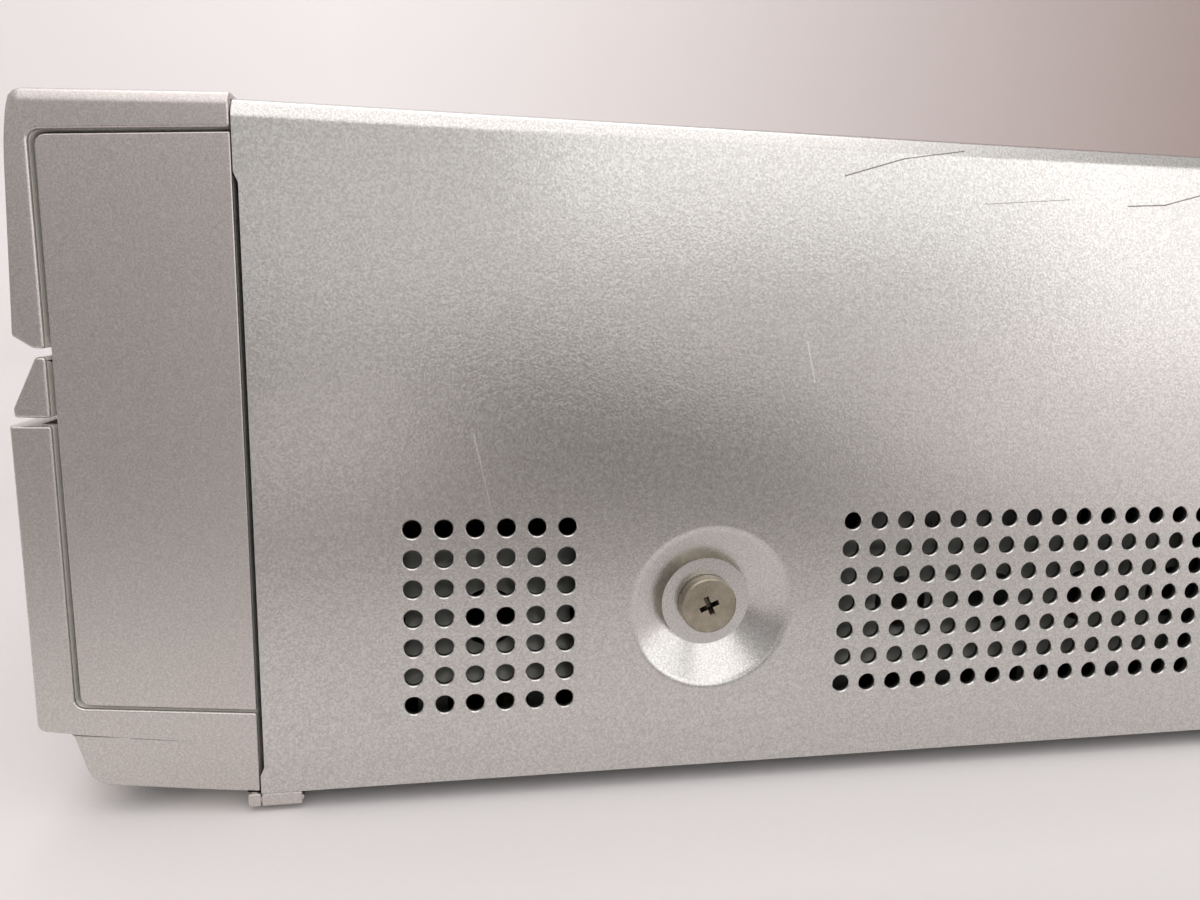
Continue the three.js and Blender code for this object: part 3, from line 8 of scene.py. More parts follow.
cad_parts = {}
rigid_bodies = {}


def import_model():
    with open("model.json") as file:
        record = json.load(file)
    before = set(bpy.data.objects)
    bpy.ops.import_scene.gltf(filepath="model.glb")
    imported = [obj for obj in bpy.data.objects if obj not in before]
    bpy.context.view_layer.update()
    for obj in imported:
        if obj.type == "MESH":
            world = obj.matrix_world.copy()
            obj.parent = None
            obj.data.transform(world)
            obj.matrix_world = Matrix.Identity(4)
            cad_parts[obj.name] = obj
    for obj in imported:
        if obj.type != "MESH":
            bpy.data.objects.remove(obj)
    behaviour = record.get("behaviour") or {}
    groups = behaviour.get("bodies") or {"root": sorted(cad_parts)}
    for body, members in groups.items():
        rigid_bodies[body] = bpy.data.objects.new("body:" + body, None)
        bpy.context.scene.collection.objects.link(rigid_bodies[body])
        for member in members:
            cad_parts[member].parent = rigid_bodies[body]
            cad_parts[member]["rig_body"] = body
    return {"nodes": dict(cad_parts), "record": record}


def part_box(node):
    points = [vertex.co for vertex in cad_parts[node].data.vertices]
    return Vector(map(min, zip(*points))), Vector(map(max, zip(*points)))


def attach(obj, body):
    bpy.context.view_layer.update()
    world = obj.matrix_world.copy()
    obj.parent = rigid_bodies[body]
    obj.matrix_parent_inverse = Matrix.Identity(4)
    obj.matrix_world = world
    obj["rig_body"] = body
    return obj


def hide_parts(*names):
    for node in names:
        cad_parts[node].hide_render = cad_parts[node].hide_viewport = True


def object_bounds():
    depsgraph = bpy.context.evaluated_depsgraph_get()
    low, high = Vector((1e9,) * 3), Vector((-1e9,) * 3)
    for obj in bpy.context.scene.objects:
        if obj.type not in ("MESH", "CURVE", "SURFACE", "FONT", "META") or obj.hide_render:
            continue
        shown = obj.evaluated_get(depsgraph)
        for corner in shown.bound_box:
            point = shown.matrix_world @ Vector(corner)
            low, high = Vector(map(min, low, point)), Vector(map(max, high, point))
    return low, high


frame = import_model()
cad_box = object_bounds()
nodes = frame["nodes"]
mm = 0.001
scene = bpy.context.scene
scene.view_settings.view_transform = "Standard"

# Camera
# A small camera 110 mm from the side wall, looking a little down and back along the case.
# It is set by its place and its three directions, found from the edges of the photographed case.
camera_place = Vector((0.3279, -0.0741, 0.0680))
camera_right = Vector((0.16938, 0.98522, 0.02566))
camera_up = Vector((-0.17723, 0.00484, 0.98416))
camera_back = camera_right.cross(camera_up)
bpy.ops.object.camera_add(location=camera_place)
camera = bpy.context.object
camera.rotation_euler = Matrix((camera_right, camera_up, camera_back)).transposed().to_euler()
camera.data.sensor_width = 36
camera.data.lens = 26.343
camera.data.clip_start = 5 * mm
scene.camera = camera


# Floor and backdrop
# A matt pale board that lies flat and sweeps up behind the recorder, with painted shade in its colour:
# darker up the sweep and in front. To the right, out of the camera's view, it has painted shade patches,
# a painted shadow and a lighter painted patch, which the side wall reflects.
class Shade:
    """One output of a shader node. Sums, products and comparisons of it add their Math nodes."""

    def __init__(self, tree, socket=None):
        self.tree = tree
        self.socket = socket

    def node(self, kind, settings=(), values=(), output=0):
        made = self.tree.nodes.new(kind)
        for name, value in dict(settings).items():
            if name == "stops":
                elements = made.color_ramp.elements
                while len(elements) < len(value):
                    elements.new(1)
                for element, (place, colour) in zip(elements, value):
                    element.position = place
                    element.color = (*colour, 1)
            else:
                setattr(made, name, value)
        for name, value in dict(values).items():
            if isinstance(value, Shade):
                self.tree.links.new(value.socket, made.inputs[name])
            else:
                made.inputs[name].default_value = value
        return Shade(self.tree, None if output is None else made.outputs[output])

    def maths(self, operation, *values):
        return self.node("ShaderNodeMath", {"operation": operation}, enumerate(values))

    def __add__(self, other):
        return self.maths("ADD", self, other)

    def __sub__(self, other):
        return self.maths("SUBTRACT", self, other)

    def __rsub__(self, other):
        return self.maths("SUBTRACT", other, self)

    def __mul__(self, other):
        return self.maths("MULTIPLY", self, other)

    def __truediv__(self, other):
        return self.maths("DIVIDE", self, other)

    def __lt__(self, other):
        return self.maths("LESS_THAN", self, other)

    def __gt__(self, other):
        return self.maths("GREATER_THAN", self, other)

    __radd__ = __add__
    __rmul__ = __mul__

    def axis(self, name):
        return self.node("ShaderNodeSeparateXYZ", values={0: self}, output="XYZ".index(name))

    def noise(self, size, detail=2.0, roughness=0.5):
        """Cloudy values from 0 to 1 whose patches are about this many metres across."""
        values = {"Vector": self, "Scale": 1 / size, "Detail": detail, "Roughness": roughness}
        return self.node("ShaderNodeTexNoise", values=values)

    def spread(self, low, high, to_low=0.0, to_high=1.0):
        """This value taken from low...high to to_low...to_high, and held there beyond them."""
        values = {1: low, 2: high, 3: to_low, 4: to_high}
        return self.node("ShaderNodeMapRange", {"clamp": True}, {0: self, **values})

    def mixed(self, first, second):
        """A blend of two colours, by this value as the second one's share."""
        values = {0: self}
        for socket, colour in ((6, first), (7, second)):
            values[socket] = colour if isinstance(colour, Shade) else (*colour, 1)
        return self.node("ShaderNodeMix", {"data_type": "RGBA"}, values, output=2)

    def relief(self, height):
        """A bump from this height, which is 0 to 1, as metres of real relief."""
        return self.node("ShaderNodeBump", values={"Distance": height, "Height": self})


def material(name, build):
    """A new material whose build function gets the piece's own coordinates and returns its sockets."""
    made = bpy.data.materials.new(name)
    made.use_nodes = True
    made.node_tree.nodes.clear()
    start = Shade(made.node_tree)
    place = start.node("ShaderNodeTexCoord", output=3)
    sockets = build(place)
    for socket, value in sockets.items():
        if isinstance(value, tuple):
            sockets[socket] = (*value, 1)
    shader = start.node("ShaderNodeBsdfPrincipled", values=sockets)
    start.node("ShaderNodeOutputMaterial", values={"Surface": shader}, output=None)
    return made


def colour(*levels):
    """A colour as picked on a screen, 0 to 255, as the linear values that a shader takes."""
    shares = [level / 255 for level in levels]
    return tuple(s / 12.92 if s < 0.0404 else ((s + 0.055) / 1.055) ** 2.4 for s in shares)


def oval_patch(across, along, middle, radii, core, share):
    """An oval patch of the board: this share inside its core, down to 0 at its rim."""
    out, side = (across - middle[0]) / radii[0], (along - middle[1]) / radii[1]
    return (out * out + side * side).spread(core, 1.0, share, 0.0)


def board_paint(place):
    speckle = place.noise(1.5 * mm)
    across, along = place.axis("X"), place.axis("Y")
    high = place.axis("Z").spread(0.0, 0.25)
    # Painted shade: the board turns darker and pinker towards the rear and up the sweep.
    pale_with_sweep_shade = (along.spread(-0.19, 0.95) * high).mixed(colour(229, 225, 225), colour(164, 148, 144))
    # Painted shade: the flat board is darker in front of the recorder and to its right.
    front_shade = along.spread(-0.2, -0.1, 0.28, 0.0) * (1 - high)
    right_shade = across.spread(0.24, 0.36) * along.spread(0.04, 0.2, 1.0, 0.0)
    shaded = right_shade.mixed(front_shade.mixed(pale_with_sweep_shade, colour(120, 116, 116)), colour(124, 120, 118))
    # Painted shade and light for the side wall to reflect: a darker far patch, a painted shadow and a
    # lighter patch.
    far_painted_shade = oval_patch(across, along, (0.88, 0.29), (0.32, 0.17), 0.1, 0.6)
    clear = oval_patch(across, along, (0.62, -0.13), (0.3, 0.09), 0.1, 0.75)
    painted_shadow = oval_patch(across, along, (0.60, 0.03), (0.21, 0.15), 0.15, 0.92)
    with_painted_patches = clear.mixed(far_painted_shade.mixed(shaded, colour(96, 92, 90)), colour(226, 222, 221))
    base = painted_shadow.mixed(with_painted_patches, colour(60, 57, 56))
    return {
        "Base Color": (speckle * 0.06).mixed(base, colour(205, 198, 195)),
        "Roughness": 0.8,
        "Normal": speckle.relief(0.05 * mm),
    }


board_width = 3.2
board_front = 1.6
board_rear = -0.75
sweep_radius = 0.25
board_height = 1.4


def deselect_all():
    bpy.ops.object.select_all(action="DESELECT")


def choose(piece, kind, wanted):
    """Selects, in edit mode, the parts of this kind that pass the test, and no others."""
    bpy.ops.mesh.select_all(action="DESELECT")
    bpy.ops.object.mode_set(mode="OBJECT")
    for element in getattr(piece.data, kind):
        element.select = bool(wanted(element))
    bpy.ops.object.mode_set(mode="EDIT")


def choose_edges(piece, wanted):
    """Selects, in edit mode, the edges whose two ends pass the test, and no others."""
    bpy.ops.mesh.select_mode(type="EDGE")
    corners = piece.data.vertices
    choose(piece, "edges", lambda edge: wanted(*(corners[v].co for v in edge.vertices)))


deselect_all()
bpy.ops.mesh.primitive_plane_add(size=1, location=((board_front + board_rear) / 2, 0, 0))
floor_board = bpy.context.object
floor_board.name = "floor_board"
floor_board.scale = (board_front - board_rear, board_width, 1)
bpy.ops.object.transform_apply(location=True, rotation=True, scale=True)
bpy.ops.object.mode_set(mode="EDIT")
choose_edges(floor_board, lambda a, b: max(a.x, b.x) < board_rear + mm)
bpy.ops.mesh.extrude_region_move(TRANSFORM_OT_translate={"value": (0, 0, board_height)})
choose_edges(floor_board, lambda a, b: max(a.x, b.x) < board_rear + mm and max(a.z, b.z) < mm)
bpy.ops.mesh.bevel(offset=sweep_radius, segments=16)
bpy.ops.object.mode_set(mode="OBJECT")
bpy.ops.object.shade_smooth()
floor_board.data.materials.append(material("board_paint", board_paint))

# Light
# A bright window behind the right rear corner, whose reflection whitens the upper rear of the
# side wall, a strip of lit ceiling across the case, a dimmer room on the camera's side, and a
# lamp for the upright part of the board.


def room_light(direction):
    side, up = direction.axis("Y"), direction.axis("Z")
    wall = side.spread(-0.42, -0.14).mixed(colour(160, 157, 156), colour(246, 243, 242))
    corner = side.spread(0.05, 0.25) * side.spread(0.42, 0.58, 1.0, 0.0) * up.spread(0.1, 0.22, 1.0, 0.0)
    dimmed = (corner * 0.8).mixed(wall, colour(190, 187, 186))
    return up.spread(0.0, 0.5).mixed(dimmed, colour(205, 203, 202))


def lit_ceiling(direction):
    """1 over a strip of ceiling that runs across the case, 0 elsewhere."""
    along = direction.maths("ABSOLUTE", direction.axis("Y"))
    return direction.axis("Z").spread(0.36, 0.52) * along.spread(0.4, 0.65, 1.0, 0.0)


world = bpy.data.worlds.new("room")
world.use_nodes = True
world.node_tree.nodes.clear()
sky = Shade(world.node_tree)
facing = sky.node("ShaderNodeTexCoord")
strength = 1.0 + lit_ceiling(facing) * 1.8
backlight = sky.node("ShaderNodeBackground", values={"Color": room_light(facing), "Strength": strength})
sky.node("ShaderNodeOutputWorld", values={"Surface": backlight}, output=None)
scene.world = world


def soft_light(name, place, target, width, height, watts):
    bpy.ops.object.light_add(type="AREA", location=place)
    lamp = bpy.context.object
    lamp.name = name
    lamp.data.shape = "RECTANGLE"
    lamp.data.size = width
    lamp.data.size_y = height
    lamp.data.energy = watts
    lamp.rotation_euler = (Vector(target) - Vector(place)).to_track_quat("-Z", "Y").to_euler()


side_target = (0.2175, 0.0, 0.06)
soft_light("window_light", (1.07, 1.12, 0.27), side_target, 0.76, 0.9, 1.75)
soft_light("window_top_light", (1.42, 0.50, 0.40), side_target, 0.9, 0.5, 1.25)
soft_light("backdrop_light", (-0.3, -0.1, 0.9), (-0.75, -0.1, 0.3), 0.8, 0.6, 2.4)

# Top cover
# One sheet of 0.8 mm steel, folded over the top with a short lip down the back, pierced with
# vents on the right and dished round a screw on each side, then sprayed with silver flake paint.
cover_low, cover_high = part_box("top_cover")
cover_lift = 0.35 * mm
cover_low.z += cover_lift
cover_sheet = 0.8 * mm
cover_bend = 2.6 * mm
cover_lip = 11 * mm
lip_bend = 1.2 * mm
lip_inset = 3.4 * mm
seam_relief = 0.5 * mm
relief_top = 79.5 * mm
relief_bottom = 6.4 * mm
relief_slope = 1.2 * mm
vent_pitch = 4 * mm
vent_radius = 1.22 * mm
vent_flare = 0.14 * mm
vent_top = 37.8 * mm
vent_front = -78.6 * mm
vent_rows = 7
vent_columns = (*range(0, 6), *range(15, 30))
screw_y = -38.45 * mm
screw_z = 25.8 * mm
dish_rim = 11.25 * mm
dish_floor = 6.3 * mm
dish_depth = 3 * mm
dish_fillet = 2.2 * mm
dish_steps = 6
shank_hole = 1.8 * mm
shank_reach = 9 * mm
tolerance = 0.01 * mm
dark_scratches = (
    ((-23.5 * mm, 83.7 * mm), (-15.5 * mm, 86.2 * mm), 0.11 * mm),
    ((-15.5 * mm, 86.2 * mm), (-7.0 * mm, 87.6 * mm), 0.09 * mm),
    ((18.0 * mm, 81.6 * mm), (23.8 * mm, 82.0 * mm), 0.12 * mm),
    ((23.8 * mm, 82.0 * mm), (29.5 * mm, 83.6 * mm), 0.12 * mm),
    ((-3.5 * mm, 81.0 * mm), (9.1 * mm, 82.1 * mm), 0.05 * mm),
    ((-66.7 * mm, 33.5 * mm), (-66.6 * mm, 33.5 * mm), 0.2 * mm),
)
light_scratches = (
    ((-27.1 * mm, 62.4 * mm), (-25.7 * mm, 57.1 * mm), 0.14 * mm),
    ((-70.8 * mm, 50.0 * mm), (-70.0 * mm, 46.5 * mm), 0.18 * mm),
    ((-70.0 * mm, 46.5 * mm), (-68.7 * mm, 40.9 * mm), 0.1 * mm),
)


def flat_object(name):
    """Ends the shaping of the active piece: its place goes into its mesh."""
    piece = bpy.context.object
    bpy.ops.object.transform_apply(location=True, rotation=True, scale=True)
    piece.name = name
    return piece


def block(name, middle, size):
    """A plain block, to be shaped further."""
    deselect_all()
    bpy.ops.mesh.primitive_cube_add(size=1, location=middle)
    bpy.context.object.scale = size
    return flat_object(name)


def choose_faces(piece, wanted):
    """Selects, in edit mode, the faces whose centre and normal pass the test, and no others."""
    choose(piece, "polygons", lambda face: wanted(face.center, face.normal))


def take_up(piece):
    """Selects this piece alone and makes it the active one."""
    deselect_all()
    bpy.context.view_layer.objects.active = piece
    piece.select_set(True)


def modify(piece, kind, **settings):
    """Adds one modifier with these settings and applies it."""
    take_up(piece)
    modifier = piece.modifiers.new(kind.lower(), kind)
    for name, value in settings.items():
        setattr(modifier, name, value)
    bpy.ops.object.modifier_apply(modifier=modifier.name)


def smooth(piece, angle):
    """Smooth shading between faces that meet at less than this angle, led by the largest faces."""
    take_up(piece)
    bpy.ops.object.shade_smooth_by_angle(angle=math.radians(angle))
    modify(piece, "WEIGHTED_NORMAL", keep_sharp=True, weight=100)


def finish_piece(piece, look, body, slot, *replaced):
    """Gives a piece its material, the body that it rides on and the CAD nodes that it stands for."""
    piece.data.materials.clear()
    piece.data.materials.append(look)
    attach(piece, body)
    if replaced:
        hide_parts(*replaced)


def lathe(name, profile, steps=64):
    """A closed form turned about x from points of radius and x, drawn as an edge chain and spun."""
    deselect_all()
    bpy.ops.mesh.primitive_plane_add(size=1)
    piece = bpy.context.object
    bpy.ops.object.mode_set(mode="EDIT")
    bpy.ops.mesh.delete(type="VERT")
    bpy.ops.object.mode_set(mode="OBJECT")
    points = [(x, radius, 0) for radius, x in profile]
    piece.data.from_pydata(points, [(i, i + 1) for i in range(len(points) - 1)], [])
    bpy.ops.object.mode_set(mode="EDIT")
    bpy.ops.mesh.select_all(action="SELECT")
    bpy.ops.mesh.spin(steps=steps, angle=math.tau, center=(0, 0, 0), axis=(1, 0, 0))
    bpy.ops.mesh.select_all(action="SELECT")
    bpy.ops.mesh.remove_doubles(threshold=1e-6)
    bpy.ops.mesh.normals_make_consistent(inside=False)
    bpy.ops.object.mode_set(mode="OBJECT")
    piece.name = name
    return piece


def copy_of(piece, name, turn=(0, 0, 0), move=(0, 0, 0)):
    """A copy with its own mesh, turned and then moved in its mesh."""
    twin = piece.copy()
    twin.data = piece.data.copy()
    twin.name = name
    scene.collection.objects.link(twin)
    twin.data.transform(Matrix.Translation(move) @ Euler(turn).to_matrix().to_4x4())
    return twin


def merged(pieces, name):
    """One object from several, whose meshes stay separate shells."""
    deselect_all()
    for piece in pieces:
        piece.select_set(True)
    bpy.context.view_layer.objects.active = pieces[0]
    if len(pieces) > 1:
        bpy.ops.object.join()
    pieces[0].name = name
    return pieces[0]


def combine(piece, tool, operation):
    """Joins the tool to the piece or cuts it away, and deletes the tool."""
    modify(piece, "BOOLEAN", object=tool, operation=operation, solver="EXACT")
    bpy.data.objects.remove(tool)


def dish_profile(shift, rise):
    """The dish's inner face from its floor out to a rim that rolls into the wall."""
    slope = math.atan2(dish_depth, dish_rim - dish_floor)
    reach = dish_fillet * math.tan(slope / 2)
    points = [(0, -dish_depth), (dish_floor, -dish_depth)]
    for i in range(dish_steps + 1):
        turn = slope * (1 - i / dish_steps)
        radius = dish_rim + reach - dish_fillet * math.sin(turn)
        points.append((radius, dish_fillet * (math.cos(turn) - 1)))
    points.append((points[-1][0], rise))
    points.append((0, rise))
    return [(radius, x + shift) for radius, x in points]


def cover_shell():
    piece = block("cover", (cover_low + cover_high) / 2, cover_high - cover_low)
    bpy.ops.object.mode_set(mode="EDIT")
    bpy.ops.mesh.select_mode(type="FACE")
    choose_faces(piece, lambda centre, normal: normal.z < -0.5 or abs(normal.y) > 0.5)
    bpy.ops.mesh.delete(type="FACE")
    choose_edges(piece, lambda a, b: min(a.z, b.z) > cover_high.z - mm and abs(a.x - b.x) < mm)
    bpy.ops.mesh.bevel(offset=cover_bend, segments=8)
    rear, top = cover_high.y - mm, cover_high.z - tolerance
    choose_edges(piece, lambda a, b: min(a.y, b.y) > rear and min(a.z, b.z) > top)
    bpy.ops.mesh.extrude_region_move(TRANSFORM_OT_translate={"value": (0, 0, -cover_lip)})
    lip_end = cover_high.z - cover_lip + mm
    choose_edges(piece, lambda a, b: min(a.y, b.y) > rear and max(a.z, b.z) < lip_end)
    narrow = (cover_high.x - lip_inset) / (cover_high.x - cover_bend)
    bpy.ops.transform.resize(value=(narrow, 1, 1))
    choose_edges(piece, lambda a, b: min(a.y, b.y) > rear and min(a.z, b.z) > top)
    bpy.ops.mesh.bevel(offset=lip_bend, segments=5)
    for height in (relief_top + relief_slope, relief_top, relief_bottom, relief_bottom - relief_slope):
        bpy.ops.mesh.select_all(action="SELECT")
        bpy.ops.mesh.bisect(plane_co=(0, 0, height), plane_no=(0, 0, 1))
    front = cover_low.y + mm
    choose(piece, "vertices", lambda v: v.co.y < front)
    bpy.ops.transform.translate(value=(0, -seam_relief, 0))
    bpy.ops.mesh.select_mode(type="VERT")
    band = (relief_bottom - 0.1 * mm, relief_top + 0.1 * mm)
    choose(piece, "vertices", lambda v: v.co.y < front and band[0] < v.co.z < band[1])
    bpy.ops.transform.translate(value=(0, seam_relief, 0))
    bpy.ops.mesh.select_all(action="SELECT")
    bpy.ops.mesh.normals_make_consistent(inside=False)
    bpy.ops.object.mode_set(mode="OBJECT")
    modify(piece, "SOLIDIFY", thickness=cover_sheet, offset=-1, use_even_offset=True)
    return piece


def vent_cutter():
    """One punch, whose rim flares a little where it breaks the painted face."""
    face = cover_high.x
    reach = 3 * cover_sheet
    profile = [
        (0, face - reach),
        (vent_radius, face - reach),
        (vent_radius, face - vent_flare),
        (vent_radius + 2 * vent_flare, face + vent_flare),
        (0, face + vent_flare),
    ]
    return lathe("vent_punch", profile, steps=24)


cover = cover_shell()
for side, turn in ((1, 0), (-1, math.pi)):
    face = cover_high.x
    outer = lathe("dish_back", dish_profile(face - cover_sheet, 0.4 * cover_sheet))
    hollow = lathe("dish_hollow", dish_profile(face, 4 * cover_sheet))
    end = face - shank_reach
    bore = lathe("dish_bore", [(0, end), (shank_hole, end), (shank_hole, face), (0, face)], 24)
    for tool, operation in ((outer, "UNION"), (hollow, "DIFFERENCE"), (bore, "DIFFERENCE")):
        tool.data.transform(Matrix.Translation((0, screw_y, screw_z)) @ Matrix.Rotation(turn, 4, "Z"))
        combine(cover, tool, operation)
punch = vent_cutter()
punches = []
for column in vent_columns:
    for row in range(vent_rows):
        place = (0, vent_front + column * vent_pitch, vent_top - row * vent_pitch)
        punches.append(copy_of(punch, "vent_punch_copy", move=place))
bpy.data.objects.remove(punch)
combine(cover, merged(punches, "vent_punches"), "DIFFERENCE")
smooth(cover, 30)


def over(value, limit):
    """How far a value is past this limit, or 0."""
    return value.maths("MAXIMUM", value - limit, 0)


def length(*parts):
    squares = sum(part * part for part in parts)
    return squares.maths("SQRT", squares)


def inside_cover(place):
    """1 on the unpainted inner face of the folded sheet, 0 on its outer face and in the dishes."""
    across = over(place.maths("ABSOLUTE", place.axis("X")), cover_high.x - cover_bend)
    back = over(place.axis("Y"), cover_high.y - cover_bend)
    up = over(place.axis("Z"), cover_high.z - cover_bend)
    within = length(across, back, up) < cover_bend - cover_sheet / 2
    from_screw = length(place.axis("Y") - screw_y, place.axis("Z") - screw_z)
    return within * (from_screw > dish_rim + cover_bend)


def stroke(place, start, end, width):
    """1 along a straight scratch from start to end, places of y and z on the right wall."""
    along, up = end[0] - start[0], end[1] - start[1]
    side, height = place.axis("Y") - start[0], place.axis("Z") - start[1]
    share = ((side * along + height * up) / (along ** 2 + up ** 2)).spread(0, 1)
    gap = length(side - share * along, height - share * up)
    return gap.spread(0.5 * width, width, 1, 0) * (place.axis("X") > 0)


def silver_paint(place):
    flakes = place.noise(0.26 * mm, detail=1.0)
    grain = place.noise(0.75 * mm, detail=2.0)
    cloud = place.noise(45 * mm, detail=1.0)
    base = flakes.spread(0.36, 0.68).mixed(colour(174, 172, 169), colour(223, 222, 220))
    warm = cloud.spread(0.35, 0.65).mixed(colour(201, 199, 196), colour(206, 202, 199))
    paint = place.noise(1.2 * mm).spread(0.2, 0.8, 0.35, 0.65).mixed(base, warm)
    scored = sum(stroke(place, *ends) for ends in dark_scratches) * 0.8
    rubbed = sum(stroke(place, *ends) for ends in light_scratches) * 0.55
    marked = rubbed.mixed(scored.mixed(paint, colour(74, 68, 66)), colour(250, 249, 247))
    # The inner face's near-black colour is partly the sheet's own dark grey and partly painted shade, so
    # the flange behind the vents reads dark.
    inner = inside_cover(place)
    return {
        "Base Color": inner.mixed(marked, colour(34, 35, 33)),
        "Metallic": inner.spread(0, 1, 0.92, 0.3),
        "Roughness": inner.spread(0, 1, grain.spread(0.3, 0.7, 0.18, 0.24), 0.6),
        "Normal": (flakes * 0.6 + grain * 0.4).relief(0.022 * mm),
    }


silver_flake = material("silver_flake_paint", silver_paint)
finish_piece(cover, silver_flake, "casing", "cover_paint", "top_cover")

# Cover screws
# Four nickel-plated pan head screws: one in each dish and two through the lip at the back. The
# blank is turned, its cross recess is punched and its thread is rolled.
screw_head = 3.95 * mm
screw_head_height = 1.9 * mm
screw_core = 1.1 * mm
screw_crest = 1.45 * mm
screw_reach = 7 * mm
thread_pitch = 1 * mm
cross_reach = 1.6 * mm
cross_width = 0.8 * mm
cross_depth = 1.3 * mm
cross_turn = math.radians(24)
side_screw_shift = 0.12 * mm
slots = {part["node"]: part["material_slot"] for part in frame["record"]["subparts"]}
screw_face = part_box("cover_screw_right")[1].x
screw_centre = sum(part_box("cover_screw_right"), Vector()) / 2


def screw_profile():
    points = [(0, -screw_reach), (screw_core, thread_pitch / 2 - screw_reach)]
    for turn in range(1, int(screw_reach / thread_pitch)):
        crest = turn * thread_pitch - screw_reach
        points += [(screw_crest, crest), (screw_core, crest + thread_pitch / 2)]
    rim, top = screw_head, screw_head_height
    points += [(screw_core, 0), (rim - 0.15 * mm, 0), (rim, 0.15 * mm), (rim, top - 0.35 * mm)]
    points += [(rim - 0.05 * mm, top - 0.16 * mm), (rim - 0.22 * mm, top - 0.02 * mm), (0, top)]
    return points


def cross_bar(turn):
    """Half of the punch for the cross recess: a bar that narrows towards its end."""
    middle = (screw_head_height - 0.4 * cross_depth, 0, 0)
    bar = block("cross_bar", middle, (1.2 * cross_depth, cross_width, 2 * cross_reach))
    bpy.ops.object.mode_set(mode="EDIT")
    bpy.ops.mesh.select_mode(type="FACE")
    choose_faces(bar, lambda centre, normal: normal.x < -0.5)
    bpy.ops.transform.resize(value=(1, 0.7, 0.4))
    bpy.ops.object.mode_set(mode="OBJECT")
    bar.data.transform(Matrix.Rotation(turn + cross_turn, 4, "X"))
    return bar


def nickel_plate(place):
    cloud = place.noise(2.2 * mm, detail=3.0)
    fine = place.noise(0.35 * mm)
    plate = cloud.spread(0.3, 0.7).mixed(colour(146, 138, 122), colour(172, 164, 149))
    # Painted shade: the inside of the cross recess is coloured dark brown.
    depth = screw_face - place.maths("ABSOLUTE", place.axis("X"))
    off_axis = length(place.axis("Y") - screw_centre.y, place.axis("Z") - screw_centre.z)
    recess_shade = (depth > 0.2 * mm) * (depth < 1.5 * mm) * (off_axis < cross_reach + 0.1 * mm)
    return {
        "Base Color": (recess_shade * 0.75).mixed(plate, colour(52, 44, 34)),
        "Metallic": 0.96,
        "Roughness": fine.spread(0.3, 0.7, 0.24, 0.38),
        "Normal": fine.relief(0.012 * mm),
    }


nickel = material("warm_nickel_plate", nickel_plate)
screw = lathe("screw", screw_profile(), steps=48)
for turn in (0, math.pi / 2):
    combine(screw, cross_bar(turn), "DIFFERENCE")
for node, turn in (
    ("cover_screw_right", 0),
    ("cover_screw_left", math.pi),
    ("rear_screw_1", math.pi / 2),
    ("rear_screw_2", math.pi / 2),
):
    low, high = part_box(node)
    facing = Vector((round(math.cos(turn)), round(math.sin(turn)), 0))
    half = abs((high - low).dot(facing)) / 2
    seat = (low + high) / 2 + facing * (half - screw_head_height)
    seat.y += side_screw_shift * abs(facing.x)
    piece = copy_of(screw, node + "_turned", (0, 0, turn), seat)
    smooth(piece, 30)
    finish_piece(piece, nickel, "casing", slots[node], node)
bpy.data.objects.remove(screw)

# Base tray
# The zinc-plated tray that everything stands in, pressed from 1 mm steel: side flanges with a row
# of punched holes and slots behind the vents, a lip along the front and vent slots in the floor.
tray_low, tray_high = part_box("base_pan")
tray_sheet = 1 * mm
tray_bend = 1.6 * mm
tray_lip = 9 * mm
tray_lip_bend = 1.2 * mm
flange_hole = 4 * mm
flange_pitch = 15.1 * mm
flange_hole_z = 24.3 * mm
flange_slot = (9.5 * mm, 14 * mm)
flange_slot_round = 0.8 * mm
flange_reach = 3 * mm
flange_web = 4 * mm
floor_slot_x = cover_high.x / 3
floor_slot_y = (-60 * mm, 16 * mm)
floor_slot = (4 * mm, 34 * mm)
floor_slot_pitch = 12 * mm
floor_slot_count = 6
floor_slot_round = 1.9 * mm
floor_reach = 6 * mm
holes_before_screw = 3


def tray_shell():
    piece = block("tray", (tray_low + tray_high) / 2, tray_high - tray_low)
    bpy.ops.object.mode_set(mode="EDIT")
    bpy.ops.mesh.select_mode(type="FACE")
    choose_faces(piece, lambda centre, normal: normal.z > 0.5 or abs(normal.y) > 0.5)
    bpy.ops.mesh.delete(type="FACE")
    choose_edges(piece, lambda a, b: max(a.z, b.z) < tray_low.z + mm and abs(a.x - b.x) < mm)
    bpy.ops.mesh.bevel(offset=tray_bend, segments=5)
    front, floor = tray_low.y + mm, tray_low.z + tolerance
    choose_edges(piece, lambda a, b: max(a.y, b.y) < front and max(a.z, b.z) < floor)
    bpy.ops.mesh.extrude_region_move(TRANSFORM_OT_translate={"value": (0, 0, tray_lip)})
    choose_edges(piece, lambda a, b: max(a.y, b.y) < front and max(a.z, b.z) < floor)
    bpy.ops.mesh.bevel(offset=tray_lip_bend, segments=4)
    bpy.ops.mesh.select_all(action="SELECT")
    bpy.ops.mesh.normals_make_consistent(inside=False)
    bpy.ops.object.mode_set(mode="OBJECT")
    modify(piece, "SOLIDIFY", thickness=tray_sheet, offset=-1, use_even_offset=True)
    return piece


def slot_punch(low, high, axis, radius):
    """A block with its edges along the axis rounded, to cut a slot."""
    low, high = Vector(low), Vector(high)
    piece = block("slot_punch", (low + high) / 2, high - low)
    bpy.ops.object.mode_set(mode="EDIT")
    others = [i for i in range(3) if i != axis]
    choose_edges(piece, lambda a, b: all(abs(a[i] - b[i]) < tolerance for i in others))
    bpy.ops.mesh.bevel(offset=radius, segments=4)
    bpy.ops.object.mode_set(mode="OBJECT")
    return piece


